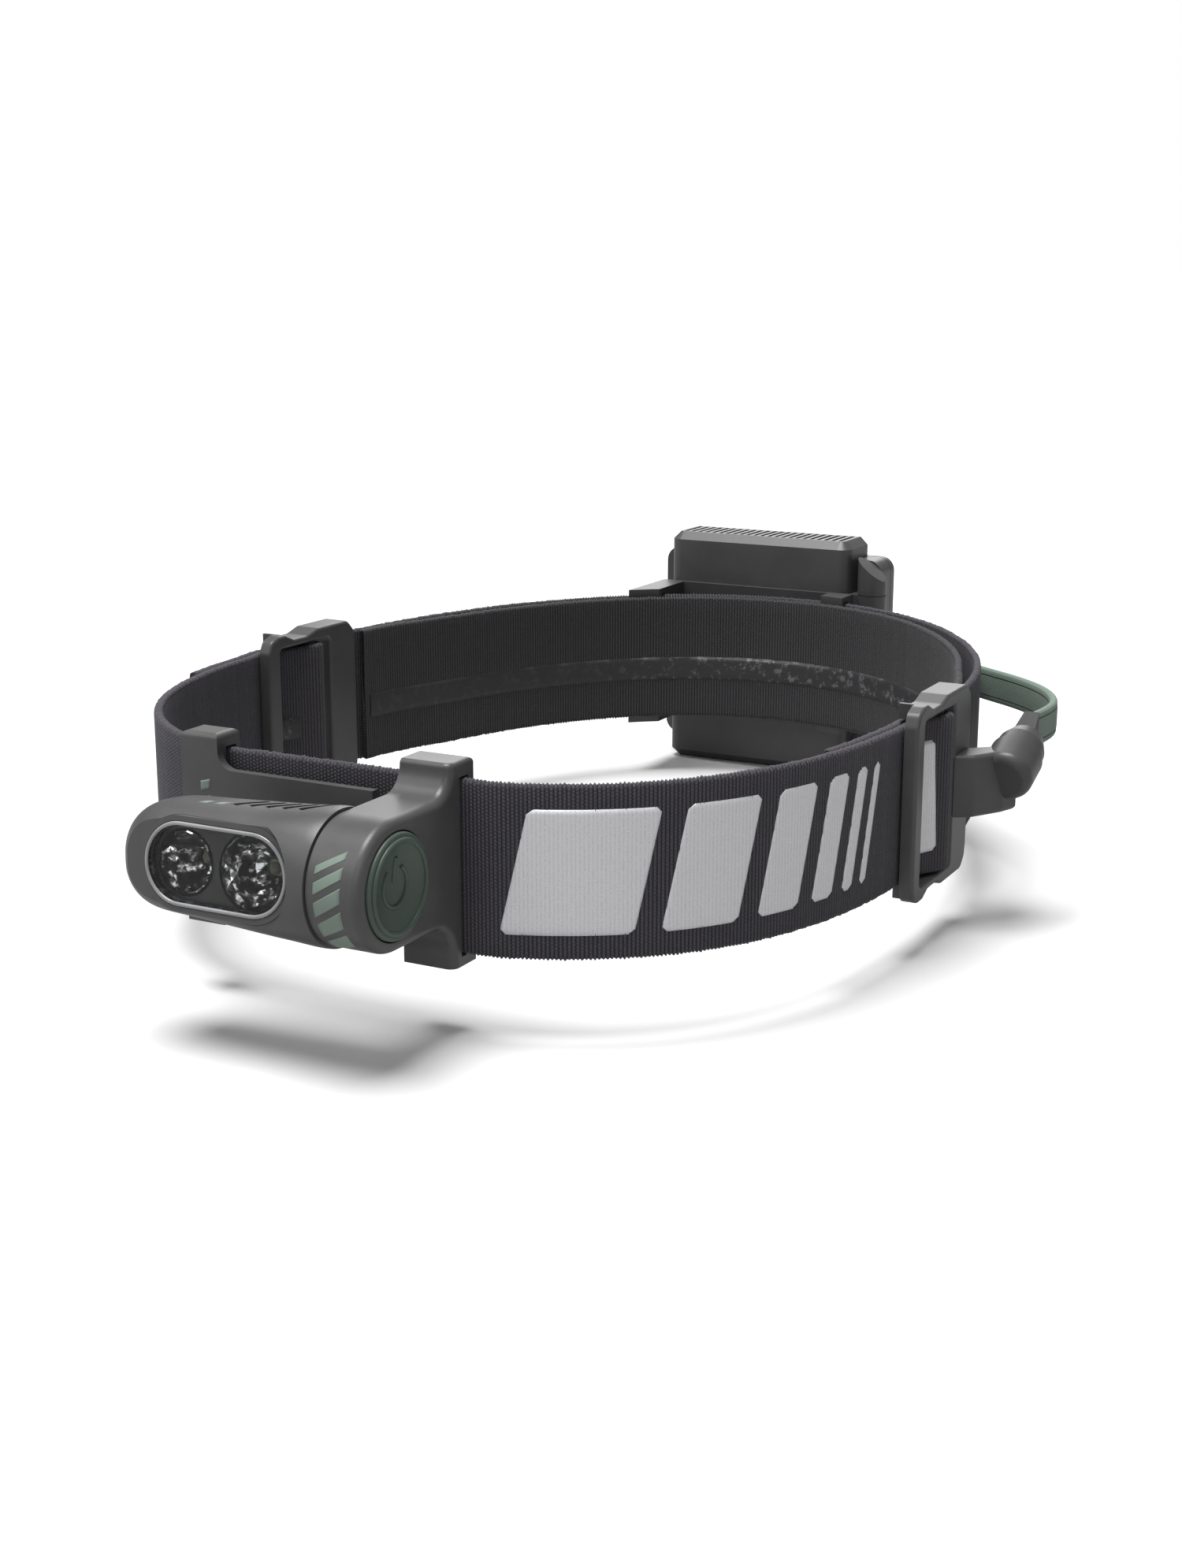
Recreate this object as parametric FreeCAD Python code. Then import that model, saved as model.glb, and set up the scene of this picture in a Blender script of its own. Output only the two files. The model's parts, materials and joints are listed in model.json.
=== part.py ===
import FreeCAD, Part
import math
import os

# Headlamp on an elastic headband, in millimetres. The shapes are made with the band's mid height at z = 0 and
# the middle of the head opening at x = y = 0, front towards -Y, and moved by ORIGIN_SHIFT at the end.

V = FreeCAD.Vector
X_AXIS = V(1, 0, 0)
Y_AXIS = V(0, 1, 0)
Z_AXIS = V(0, 0, 1)
ORIGIN_SHIFT = V(-6.77, 6.03, 29.0)

# ---- headband line in plan: two half superellipses with a flat front ----
HALF_WIDTH = 73.0
WIDEST_Y = -15.0
FRONT_REACH = 84.5
REAR_REACH = 112.0
FRONT_POWER = 2.5
REAR_POWER = 2.1
FRONT_FLAT_Y = -96.5
POINTS_PER_EDGE = 4
LINE_STEP = 5.0

# ---- straps ----
BAND_HALF = 15.0
FRONT_T = 1.7
REAR_T = 1.5
STRAP_GAP = 0.25
GRIP_T = 0.5
GRIP_LOW = -5.5
GRIP_HIGH = 0.0
LEAD_T = 0.6
LEAD_HALF = 3.0
LEAD_ROOM = 0.15

# ---- buckles, in their own frame: t along the strap, q towards the head ----
RIGHT_BUCKLE_S = 131.0
LEFT_BUCKLE_S = 134.0
POST_T0 = -15.0
POST_T1 = -11.0
PLATE_T0 = 6.4
PLATE_T1 = 16.0
BUCKLE_OUT = -3.0
POST_IN = -0.3
PLATE_IN = 2.6
BAR_T = 1.4
BAR_Q = -0.9
BAR_R = 1.3
WINDOW_HALF = 15.6
RAIL_HALF = 18.5
DIP_HALF = 17.2
TAB_HALF = 18.3
PIN_R = 0.75
PIN_Z = (-9.3, 0.0, 9.3)

# ---- lamp: tilt axis, hub and bracket ----
AXIS_Y = -116.0
AXIS_Z = 2.0
REST_TILT = 6.5
HUB_R = 10.9
HUB_X0 = 12.5
HUB_X1 = 22.3
HUB_WALL = 1.8
HUB_BORE = 9.0
PLATE_FRONT = -99.6
PLATE_BACK = -98.0
EAR_BACK = -92.6
LEFT_BACK = -93.2
EAR_TOP = 18.0
LEFT_TOP = 17.9
LEFT_BOTTOM = -16.3
EAR_BOTTOM = -17.0
SLOT_FRONT = -97.1
SLOT_BACK = -94.3
SLOT_HALF = 15.35
CUT_Z = 11.8
NOTCH_Z = 9.7
PLATE_LOW = -9.0
LEFT_EAR = (-32.6, -24.7)
RIGHT_EAR = (HUB_X0, HUB_X1)
BUTTON_R = 8.75
BUTTON_X0 = 19.9
BUTTON_X1 = 22.9
SHAFT_R = 5.0
SHAFT_BORE = 3.2
SHAFT_FIT = 0.05

# ---- lamp head, in its own frame: forward distance from the tilt axis, height above it ----
HEAD_X1 = 12.3
FACE = 8.6
SHELL_T = 1.4
LENS_X = -6.6
LENS_RUN = 7.1
LENS_R = 7.0
BEZEL_W = 0.9
FACE_RIM = 1.6
SPOT_X = -13.7
SPOT_R = 5.1
FLOOD_X = -0.3
FLOOD_R = 6.2
# x, front, back, half height, corner power
HEAD_SECTIONS = (
    (12.3, 11.4, 11.4, 11.4, 2.0),
    (9.0, 11.2, 10.9, 11.2, 2.3),
    (3.5, 10.8, 10.2, 10.6, 2.8),
    (-6.0, 10.4, 9.3, 10.0, 3.0),
    (-16.0, 10.2, 8.6, 9.5, 3.0),
    (-22.0, 9.6, 7.2, 8.8, 2.8),
    (-25.6, 7.6, 4.8, 6.6, 2.5),
    (-27.2, 4.6, 2.2, 3.8, 2.2),
)

# ---- battery case ----
CASE_X = -11.2
CASE_HALF_X = 24.0
CASE_HALF_Z = 29.0
CASE_Y0 = 99.2
CASE_Y1 = 112.2
CASE_WALL = 2.0
FACE_WALL = 1.2
WING_X0 = -39.0
WING_X1 = 19.0
WING_Y0 = 105.8
WING_HALF_Z = 24.2
DOOR_Y1 = 116.0
CELL_R = 5.25
CELL_L = 44.5
CELL_PITCH = 13.2
BAY_HALF_Z = 24.4
CONTACT_T = 0.4
HINGE_X = -37.2
HINGE_Y = 114.0
KNUCKLE_R = 1.7
HINGE_PIN_R = 0.8
CRADLE_T = 1.3
GLAND_X = 18.1
GLAND_Y = 102.0
GLAND_R = 3.5
GLAND_SEAM = 16.4

# ---- cable: flat, laid on edge at one height ----
CABLE_Z = 6.5
CABLE_HALF = 3.5
CABLE_T = 1.8
CABLE_ROUTE = (
    (83.4, 18.4), (84.6, 26.6), (83.0, 35.8), (77.6, 45.2), (69.8, 52.6), (61.0, 58.6),
    (53.2, 64.6), (46.2, 70.9), (39.6, 77.0), (33.2, 82.8), (27.4, 89.0), (22.4, 95.4), (19.0, 102.2),
)
PLUG_X = 83.5
PLUG_Y = 0.5
PLUG_Z = 0.3
PLUG_TILT = 20.0
SOCKET_L = 8.4
SOCKET_R = 5.2
PLUG_R = 4.7
PLUG_L = 14.6
PLUG_NOSE_L = 4.0
ARM_LOW = -6.6
ARM_HIGH = 5.6


def signed_power(value, power):
    return math.copysign(abs(value) ** power, value)


def loop_point(angle):
    """Point of the band's outer line; the angle only orders the points."""
    c = math.cos(angle)
    s = math.sin(angle)
    power = 2 / (FRONT_POWER if s < 0 else REAR_POWER)
    reach = FRONT_REACH if s < 0 else REAR_REACH
    x = HALF_WIDTH * signed_power(c, power)
    y = WIDEST_Y + reach * signed_power(s, power)
    return x, max(y, FRONT_FLAT_Y)


def measured_loop(count=9000):
    """Dense points of the closed line from the front centre, anticlockwise, with the distance to each."""
    points = [loop_point(-math.pi / 2 + 2 * math.pi * i / count) for i in range(count + 1)]
    distances = [0.0]
    for (x0, y0), (x1, y1) in zip(points, points[1:]):
        distances.append(distances[-1] + math.hypot(x1 - x0, y1 - y0))
    return points, distances


LOOP, LOOP_S = measured_loop()
LOOP_LENGTH = LOOP_S[-1]


def on_loop(s):
    s = s % LOOP_LENGTH
    low = 0
    high = len(LOOP_S) - 1
    while high - low > 1:
        middle = (low + high) // 2
        if LOOP_S[middle] <= s:
            low = middle
        else:
            high = middle
    k = (s - LOOP_S[low]) / (LOOP_S[high] - LOOP_S[low])
    return tuple(a + k * (b - a) for a, b in zip(LOOP[low], LOOP[high]))


def loop_frame(s):
    """Point, tangent and inward normal of the band's outer line at the distance s."""
    x0, y0 = on_loop(s - 1.5)
    x1, y1 = on_loop(s + 1.5)
    length = math.hypot(x1 - x0, y1 - y0)
    tangent = ((x1 - x0) / length, (y1 - y0) / length)
    return on_loop(s), tangent, (-tangent[1], tangent[0])


def inside(s, depth):
    (x, y), _, (nx, ny) = loop_frame(s)
    return x + nx * depth, y + ny * depth


def buckle_at(left):
    return LEFT_BUCKLE_S if left else RIGHT_BUCKLE_S


def buckle_point(t, q, left=False):
    """Plan point in a buckle's own frame; the left buckle is the same part turned inside out."""
    (x, y), (tx, ty), (nx, ny) = loop_frame(buckle_at(left))
    if left:
        q = FRONT_T - q
    return x + tx * t + nx * q, y + ty * t + ny * q


def steps(start, stop, step=LINE_STEP):
    count = max(2, int(math.ceil(abs(stop - start) / step)))
    return [start + (stop - start) * i / count for i in range(count + 1)]


def spline(points):
    """Smooth curve through the points, as a chain of short edges."""
    curve = Part.BSplineCurve()
    curve.interpolate(points)
    knots = curve.getKnots()
    cuts = knots[:-1:POINTS_PER_EDGE] + knots[-1:]
    return [curve.toShape(a, b) for a, b in zip(cuts, cuts[1:])]


def closed_spline(points):
    curve = Part.BSplineCurve()
    curve.interpolate(points, PeriodicFlag=True)
    return Part.Wire([curve.toShape()])


def ribbon(line, thickness, z_low, z_high):
    """Upright band of one thickness along a plan line."""
    left = []
    right = []
    for i, (x, y) in enumerate(line):
        x0, y0 = line[max(i - 1, 0)]
        x1, y1 = line[min(i + 1, len(line) - 1)]
        length = math.hypot(x1 - x0, y1 - y0)
        nx = -(y1 - y0) / length * thickness / 2
        ny = (x1 - x0) / length * thickness / 2
        left.append(V(x + nx, y + ny, z_low))
        right.append(V(x - nx, y - ny, z_low))
    edges = spline(left) + spline(right)
    edges += [Part.makeLine(left[-1], right[-1]), Part.makeLine(right[0], left[0])]
    wire = Part.Wire(Part.__sortEdges__(edges))
    return Part.Face(wire).extrude(V(0, 0, z_high - z_low))


def box(x0, x1, y0, y1, z0, z1):
    return Part.makeBox(x1 - x0, y1 - y0, z1 - z0, V(x0, y0, z0))


def disc(radius, x0, x1, y=AXIS_Y, z=AXIS_Z):
    return Part.makeCylinder(radius, x1 - x0, V(x0, y, z), X_AXIS)


def ring(outer, inner, x0, x1, y=AXIS_Y, z=AXIS_Z):
    return disc(outer, x0, x1, y, z).cut(disc(inner, x0, x1, y, z))


def rounded(shape, radius, keep):
    """Fillet on the edges that the test picks."""
    edges = [edge for edge in shape.Edges if keep(edge)]
    return shape.makeFillet(radius, edges)


def runs_along(edge, axis):
    if edge.Curve.TypeId != "Part::GeomLine":
        return False
    direction = edge.Curve.Direction
    return abs(abs(direction.dot(axis)) - 1) < 1e-6


def plan_prism(points, z0, z1):
    wire = Part.makePolygon([V(x, y, z0) for x, y in points + points[:1]])
    return Part.Face(wire).extrude(V(0, 0, z1 - z0))


def mirrored(shape):
    return shape.mirror(V(0, 0, 0), X_AXIS)


# ---------------------------------------------------------------- straps
def strap_half_line(left=False):
    """Half of the front strap, drawn on the right: front, past the post, round the bar and back as a tail."""
    deep = FRONT_T / 2
    layer = FRONT_T + STRAP_GAP
    tail = deep - layer if left else deep + layer
    at = buckle_at(left)
    line = [inside(s, deep) for s in steps(0, at - 19)]
    at_post = 1.2 if left else 1.0
    line += [buckle_point(-13.0, at_post, left), buckle_point(-8.4, 0.9, left), buckle_point(-3.6, -0.9, left)]
    wrap = BAR_R + 0.15 + FRONT_T / 2
    for angle in range(-110, 101, 30):
        a = math.radians(angle)
        line.append(buckle_point(BAR_T + wrap * math.cos(a), BAR_Q + wrap * math.sin(a), left))
    line += [buckle_point(-3.2, 2.2, left), buckle_point(-8.4, deep + layer, left)]
    line.append(buckle_point(-13.0, at_post + layer, left))
    line += [inside(s, tail) for s in steps(at - 19, at - 37)]
    return line


def front_strap():
    line = [(-x, y) for x, y in reversed(strap_half_line(True))] + strap_half_line()[1:]
    strap = ribbon(line, FRONT_T, -BAND_HALF, BAND_HALF)
    room_half = LEAD_HALF + LEAD_ROOM
    return strap.cut(ribbon(lead_line(), LEAD_T + 2 * LEAD_ROOM, -room_half, room_half))


def lead_line():
    return [inside(s, FRONT_T / 2) for s in steps(HUB_X1 + 2.0, RIGHT_BUCKLE_S - 21)]


def lamp_lead():
    return ribbon(lead_line(), LEAD_T, -LEAD_HALF, LEAD_HALF)


def smooth(value):
    value = min(max(value, 0.0), 1.0)
    return value * value * (3 - 2 * value)


def rear_span(past_plate):
    """Distances along the loop between the two buckle plates, starting this far past each plate's middle."""
    return RIGHT_BUCKLE_S + past_plate, LOOP_LENGTH - LEFT_BUCKLE_S - past_plate


def bow(s):
    """How far the rear straps stand out behind the right buckle."""
    return math.exp(-((s - RIGHT_BUCKLE_S - 50) / 28) ** 2)


def sleeve_gap(s):
    """Room between the two rear straps: sewn together at the ends, apart where the cable runs."""
    first, last = rear_span(PLATE_T1)
    return 0.1 + 2.3 * smooth((min(s - first, last - s) - 8) / 26)


def cable_room(spare=0.15):
    """Space that the cable takes along its whole route, with a little to spare."""
    half = CABLE_HALF + spare
    return ribbon(route_samples(CABLE_ROUTE), CABLE_T + 2 * spare, CABLE_Z - half, CABLE_Z + half)


def cable_slots():
    """Openings in the outer rear strap where the cable goes in and out of the sleeve."""
    return cable_room(0.4)


def route_samples(points):
    """Close points along the smooth route, only for cutting room for it."""
    samples = [points[0]]
    for i in range(1, len(points) - 1):
        start = middle_of(points[i - 1], points[i])
        end = middle_of(points[i], points[i + 1])
        for k in range(3):
            u = k / 3
            samples.append(tuple(
                (1 - u) ** 2 * a + 2 * u * (1 - u) * b + u * u * c
                for a, b, c in zip(start, points[i], end)))
    samples.append(middle_of(points[-2], points[-1]))
    samples.append(points[-1])
    return samples


def middle_of(a, b):
    return (a[0] + b[0]) / 2, (a[1] + b[1]) / 2


def rear_outer_strap():
    first, last = rear_span(PLATE_T1 + 7)
    inserted = (PLATE_T0 + 2.4, PLATE_T0 + 5.4, PLATE_T1 + 0.4)
    start = [buckle_point(t, 0.7) for t in inserted]
    end = [buckle_point(t, 0.7, True) for t in reversed(inserted)]
    middle = [inside(s, REAR_T / 2 - bow(s)) for s in steps(first, last)]
    strap = ribbon(start + middle + [(-x, y) for x, y in end], REAR_T, -BAND_HALF, BAND_HALF)
    return strap.cut(cable_slots()).cut(strap_pins(0.1))


def rear_inner_strap():
    line = [inside(s, 1.5 * REAR_T + sleeve_gap(s) - bow(s)) for s in steps(*rear_span(PLATE_T1 + 4.5))]
    return ribbon(line, REAR_T, -BAND_HALF, BAND_HALF)


def silicone_grip():
    depth = 2 * REAR_T + GRIP_T / 2 + 0.1
    line = [inside(s, depth + sleeve_gap(s) - bow(s)) for s in steps(*rear_span(PLATE_T1 + 8))]
    return ribbon(line, GRIP_T, GRIP_LOW, GRIP_HIGH)


def front_grips():
    depth = FRONT_T + GRIP_T / 2 + 0.02
    right = ribbon([inside(s, depth) for s in steps(36.0, RIGHT_BUCKLE_S - 41)], GRIP_T, GRIP_LOW, GRIP_HIGH)
    left = ribbon([inside(s, depth) for s in steps(36.0, LEFT_BUCKLE_S - 24)], GRIP_T, GRIP_LOW, GRIP_HIGH)
    return Part.makeCompound([right, mirrored(left)])


# ---------------------------------------------------------------- buckles
def placed_at_buckle(shape, left=False):
    """Move a shape from the buckle's own frame (x = t, y = q) to its place on the band."""
    (x, y), (tx, ty), _ = loop_frame(buckle_at(left))
    turn = FreeCAD.Rotation(Z_AXIS, math.degrees(math.atan2(ty, tx)))
    moved = shape.copy()
    if left:
        moved.rotate(V(0, FRONT_T / 2, 0), X_AXIS, 180)
        moved = moved.copy()
    moved.Placement = FreeCAD.Placement(V(x, y, 0), turn).multiply(moved.Placement)
    return mirrored(moved) if left else moved


def buckle_side():
    """Outline seen from the side of the head: rounded post end, a dip, and a raised tab over the plate."""
    upper = [
        (POST_T0, 15.2), (POST_T0 + 1.1, 17.6), (POST_T0 + 3.7, RAIL_HALF), (-9.0, RAIL_HALF),
        (-6.0, DIP_HALF), (-1.6, DIP_HALF), (2.2, TAB_HALF), (PLATE_T1 - 2.6, TAB_HALF),
        (PLATE_T1 - 0.4, TAB_HALF - 2.2), (PLATE_T1, TAB_HALF - 4.6),
    ]
    lower = [(t, -z) for t, z in reversed(upper)]
    corners = [V(t, BUCKLE_OUT, z) for t, z in upper + lower]
    return Part.Face(Part.makePolygon(corners + corners[:1]))


def buckle(left=False):
    body = buckle_side().extrude(V(0, PLATE_IN - BUCKLE_OUT, 0))
    body = rounded(body, 2.0, lambda e: runs_along(e, Y_AXIS))
    window = box(POST_T1, PLATE_T0, BUCKLE_OUT - 1, PLATE_IN + 1, -WINDOW_HALF, WINDOW_HALF)
    window = rounded(window, 1.0, lambda e: runs_along(e, Y_AXIS))
    behind_post = box(POST_T0 - 1, POST_T1 + 1, POST_IN, PLATE_IN + 1, -TAB_HALF - 1, TAB_HALF + 1)
    strap_room = box(PLATE_T0 + 1.4, PLATE_T1 + 1, -0.3, 1.7, -BAND_HALF - 0.4, BAND_HALF + 0.4)
    body = body.cut(window).cut(behind_post)
    body = rounded(body, 0.7, lambda e: e.BoundBox.YMax < BUCKLE_OUT + 0.01)
    body = body.cut(strap_room)
    bar = Part.makeCylinder(BAR_R, 2 * WINDOW_HALF + 1, V(BAR_T, BAR_Q, -WINDOW_HALF - 0.5))
    body = body.fuse(bar)
    for z in PIN_Z:
        body = body.cut(Part.makeCylinder(PIN_R, 9, V(PLATE_T0 + 4.4, BUCKLE_OUT + 0.9, z), Y_AXIS))
    return placed_at_buckle(body.removeSplitter(), left)


def strap_pins(spare=0.0):
    """Pins that hold the rear strap in both buckle plates, three a side, flush in their blind holes."""
    radius = PIN_R - 0.02 + spare
    start = BUCKLE_OUT + 1.0
    length = PLATE_IN - start - 0.5
    pins = [Part.makeCylinder(radius, length, V(PLATE_T0 + 4.4, start, z), Y_AXIS) for z in PIN_Z]
    right = placed_at_buckle(Part.makeCompound(pins))
    left = placed_at_buckle(Part.makeCompound(pins), True)
    return Part.makeCompound(right.Solids + left.Solids)


# ---------------------------------------------------------------- bracket and hub
def side_profile(x):
    """Side view of the right ear and the hub as one outline, in a plane of constant x."""
    def at(y, z):
        return V(x, y, z)
    top = AXIS_Z + HUB_R
    low = AXIS_Z - HUB_R
    blend = EAR_TOP - top - 0.6
    foot = 5.4
    turn = math.sqrt(0.5)
    edges = [
        Part.makeLine(at(EAR_BACK, EAR_BOTTOM), at(PLATE_FRONT, EAR_BOTTOM)),
        Part.makeLine(at(PLATE_FRONT, EAR_BOTTOM), at(PLATE_FRONT, low - foot)),
        Part.Arc(at(PLATE_FRONT, low - foot),
                 at(PLATE_FRONT - foot + foot * turn, low - foot + foot * turn),
                 at(PLATE_FRONT - foot, low)).toShape(),
        Part.makeLine(at(PLATE_FRONT - foot, low), at(AXIS_Y, low)),
        Part.Arc(at(AXIS_Y, low), at(AXIS_Y - HUB_R, AXIS_Z), at(AXIS_Y, top)).toShape(),
        Part.makeLine(at(AXIS_Y, top), at(PLATE_FRONT - blend, top)),
        Part.Arc(at(PLATE_FRONT - blend, top),
                 at(PLATE_FRONT - blend + blend * turn, top + blend - blend * turn),
                 at(PLATE_FRONT, top + blend)).toShape(),
        Part.makeLine(at(PLATE_FRONT, top + blend), at(PLATE_FRONT, EAR_TOP)),
        Part.makeLine(at(PLATE_FRONT, EAR_TOP), at(EAR_BACK, EAR_TOP)),
        Part.makeLine(at(EAR_BACK, EAR_TOP), at(EAR_BACK, EAR_BOTTOM)),
    ]
    return Part.Face(Part.Wire(edges))


def is_side_rim(edge):
    """Outer rim of the hub's side face, in front of the ear."""
    flat = edge.BoundBox.XLength < 0.01 and abs(edge.BoundBox.XMax - HUB_X1) < 0.01
    return flat and edge.BoundBox.YMin < PLATE_FRONT - 0.01


def ear_gusset(corner_x, level, side):
    """Concave corner between an ear's side and the top of the plate."""
    size = 3.0
    x0, x1 = sorted((corner_x - side * 0.5, corner_x + side * size))
    block = box(x0, x1, PLATE_FRONT, PLATE_BACK, level - 1, level + size)
    return block.cut(Part.makeCylinder(size, 10, V(corner_x + side * size, PLATE_FRONT - 5, level + size), Y_AXIS))


def lamp_bracket():
    hub = side_profile(HUB_X0).extrude(V(HUB_X1 - HUB_X0, 0, 0))
    hub = rounded(hub, 1.6, is_side_rim)
    hub = rounded(hub, 0.9, lambda e: runs_along(e, X_AXIS) and e.BoundBox.ZMin > EAR_TOP - 0.1)
    left = box(*LEFT_EAR, PLATE_FRONT, LEFT_BACK, LEFT_BOTTOM, LEFT_TOP)
    left = rounded(left, 1.1, lambda e: e.BoundBox.ZMin > LEFT_TOP - 0.1)
    plate = box(LEFT_EAR[0], RIGHT_EAR[0] - 5.5, PLATE_FRONT, PLATE_BACK, PLATE_LOW, CUT_Z)
    step = box(RIGHT_EAR[0] - 6, HUB_X1 - 2, PLATE_FRONT, PLATE_BACK, PLATE_LOW, NOTCH_Z)
    gussets = [ear_gusset(LEFT_EAR[1], CUT_Z, 1), ear_gusset(HUB_X0, NOTCH_Z, -1)]
    body = hub.fuse([left, plate, step] + gussets).removeSplitter()
    slot = box(LEFT_EAR[0] - 1, HUB_X1 + 1, SLOT_FRONT, SLOT_BACK, -SLOT_HALF, SLOT_HALF)
    bend = [inside(s, FRONT_T / 2) for s in steps(15.0, 50.0)]
    slot = slot.fuse(mirrored(ribbon(bend, FRONT_T + 0.7, -SLOT_HALF, SLOT_HALF)))
    cavity = disc(HUB_BORE, HUB_X0 + HUB_WALL, HUB_X1 + 1)
    bore = disc(SHAFT_R + SHAFT_FIT, HUB_X0 - 1, HUB_X1)
    wire_way = Part.makeCylinder(1.4, 20, V(HUB_X0 + 3.9, AXIS_Y + 4, AXIS_Z - 2), Y_AXIS)
    return body.cut(slot).cut(cavity).cut(bore).cut(wire_way)


def power_button():
    """Rubber disc with a raised rim and a dish, and a stem that reaches for the switch."""
    body = disc(BUTTON_R, BUTTON_X0, BUTTON_X1)
    body = rounded(body, 0.5, lambda e: e.BoundBox.XMin > BUTTON_X1 - 0.01)
    dish = Part.makeSphere(19.0, V(BUTTON_X1 + 17.6, AXIS_Y, AXIS_Z))
    stem = disc(1.6, BUTTON_X0 - 0.7, BUTTON_X0 + 0.5)
    return body.cut(dish).fuse(stem).removeSplitter()


def button_ring():
    """Ring that carries the button's edge over the circuit board."""
    return ring(HUB_BORE - 0.04, 7.4, 17.9, 19.0)


def driver_board():
    board = disc(HUB_BORE - 0.1, 16.9, 17.8)
    return board.cut(disc(1.2, 16, 19, AXIS_Y + 5.5, AXIS_Z - 4))


def switch_dome():
    base = box(17.85, 18.4, AXIS_Y - 2.4, AXIS_Y + 2.4, AXIS_Z - 2.4, AXIS_Z + 2.4)
    return base.fuse(disc(1.2, 18.3, 18.38)).removeSplitter()


def detent_spring():
    """Bent leaf that rests in the detent wheel's teeth."""
    leaf = ring(HUB_BORE - 0.1, HUB_BORE - 0.7, 14.5, 16.0)
    return leaf.common(box(14, 17, AXIS_Y - 12, AXIS_Y + 12, AXIS_Z + 4.5, AXIS_Z + 12))


# ---------------------------------------------------------------- lamp head
def head_section(x, front, back, half_height, power, inset=0.0):
    points = []
    count = 20
    for i in range(count):
        a = 2 * math.pi * i / count
        reach = front if math.cos(a) > 0 else back
        forward = (reach - inset) * signed_power(math.cos(a), 2 / power)
        height = (half_height - inset) * signed_power(math.sin(a), 2 / power)
        points.append(V(x, AXIS_Y - forward, AXIS_Z + height))
    return closed_spline(points)


def head_body(inset=0.0):
    """Rounded body along the tilt axis, lofted through its sections and cut flat in front."""
    sections = [s for s in HEAD_SECTIONS if inset == 0 or s[0] > HEAD_SECTIONS[-1][0] + 1]
    wires = []
    for x, front, back, half_height, power in sections:
        at = min(x, HEAD_X1 - inset)
        wires.append(head_section(at, front, back, half_height, power, inset))
    loft = Part.makeLoft(wires, True, False)
    face = FACE - inset
    loft = loft.cut(box(-40, LENS_X, AXIS_Y - 30, AXIS_Y - face, -30, 40))
    return loft.cut(stadium(LENS_R + FACE_RIM, face, 30))


def stadium(radius, forward0, forward1, run=LENS_RUN):
    """Long rounded plate across the lamp's face, between two forward distances."""
    depth = forward1 - forward0
    y = AXIS_Y - forward1
    ends = [Part.makeCylinder(radius, depth, V(LENS_X + side * run, y, AXIS_Z), Y_AXIS) for side in (-1, 1)]
    middle = box(LENS_X - run, LENS_X + run, y, y + depth, AXIS_Z - radius, AXIS_Z + radius)
    return middle.fuse(ends).removeSplitter()


def vents():
    slots = []
    for i in range(5):
        slot = box(-0.75, 0.75, -3.0, 3.0, 0, 20)
        slot.rotate(V(0, 0, 0), Z_AXIS, -34)
        slot.translate(V(-5.4 + 3.2 * i, AXIS_Y - 0.9, AXIS_Z + 5.0))
        slots.append(slot)
    return Part.makeCompound(slots)


def head_halves():
    shell = head_body().cut(head_body(SHELL_T))
    shell = shell.cut(stadium(LENS_R + BEZEL_W + 0.05, 5.0, FACE + 1))
    shell = shell.cut(disc(SHAFT_R + 0.02, HEAD_X1 - 5, HEAD_X1 + 1))
    split = AXIS_Y + 3.0
    front = shell.common(box(-40, 20, AXIS_Y - 30, split, -30, 40)).cut(vents())
    rear = shell.common(box(-40, 20, split + 0.05, AXIS_Y + 30, -30, 40))
    return front, rear


def cup(x, mouth, base, depth, wall=0.5):
    """Reflector bowl: a parabola turned about the light's own line."""
    def profile(extra, start):
        steps_count = 8
        points = []
        for i in range(steps_count + 1):
            k = i / steps_count
            radius = math.sqrt(base ** 2 + (mouth ** 2 - base ** 2) * k) + extra
            points.append(V(x + radius, start - depth * k, AXIS_Z))
        return points
    start = AXIS_Y - 0.4
    inner = profile(0.0, start)
    outer = profile(wall, start)
    edges = spline(inner) + spline(outer)
    edges += [Part.makeLine(inner[-1], outer[-1]), Part.makeLine(outer[0], inner[0])]
    face = Part.Face(Part.Wire(Part.__sortEdges__(edges)))
    return face.revolve(V(x, start, AXIS_Z), Y_AXIS, 360)


def led(x):
    base = box(x - 1.15, x + 1.15, AXIS_Y - 0.4, AXIS_Y + 0.25, AXIS_Z - 1.15, AXIS_Z + 1.15)
    dome = Part.makeSphere(0.95, V(x, AXIS_Y - 0.7, AXIS_Z))
    return base.fuse(dome).removeSplitter()


def reflector_trim():
    plate = stadium(LENS_R - 0.3, 6.0, 6.6)
    for x, radius in ((SPOT_X, SPOT_R), (FLOOD_X, FLOOD_R)):
        plate = plate.cut(Part.makeCylinder(radius + 0.55, 20, V(x, AXIS_Y - 15, AXIS_Z), Y_AXIS))
    return plate


def led_board():
    return box(-18.5, 4.5, AXIS_Y + 0.3, AXIS_Y + 1.3, AXIS_Z - 5.0, AXIS_Z + 5.0)


def heat_sink():
    block = box(-18.5, 4.5, AXIS_Y + 1.35, AXIS_Y + 2.9, AXIS_Z - 5.2, AXIS_Z + 5.2)
    fins = [box(-16 + 3.6 * i, -14.8 + 3.6 * i, AXIS_Y + 2.8, AXIS_Y + 4.6, AXIS_Z - 4.6, AXIS_Z + 4.6)
            for i in range(6)]
    return block.fuse(fins).removeSplitter()


def tilt_shaft():
    flange = disc(6.6, HEAD_X1 - SHELL_T - 1.2, HEAD_X1 - SHELL_T - 0.05)
    tube = disc(SHAFT_R, HEAD_X1 - SHELL_T - 0.1, 16.5)
    return flange.fuse(tube).removeSplitter().cut(disc(SHAFT_BORE, 0, 20))


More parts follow.
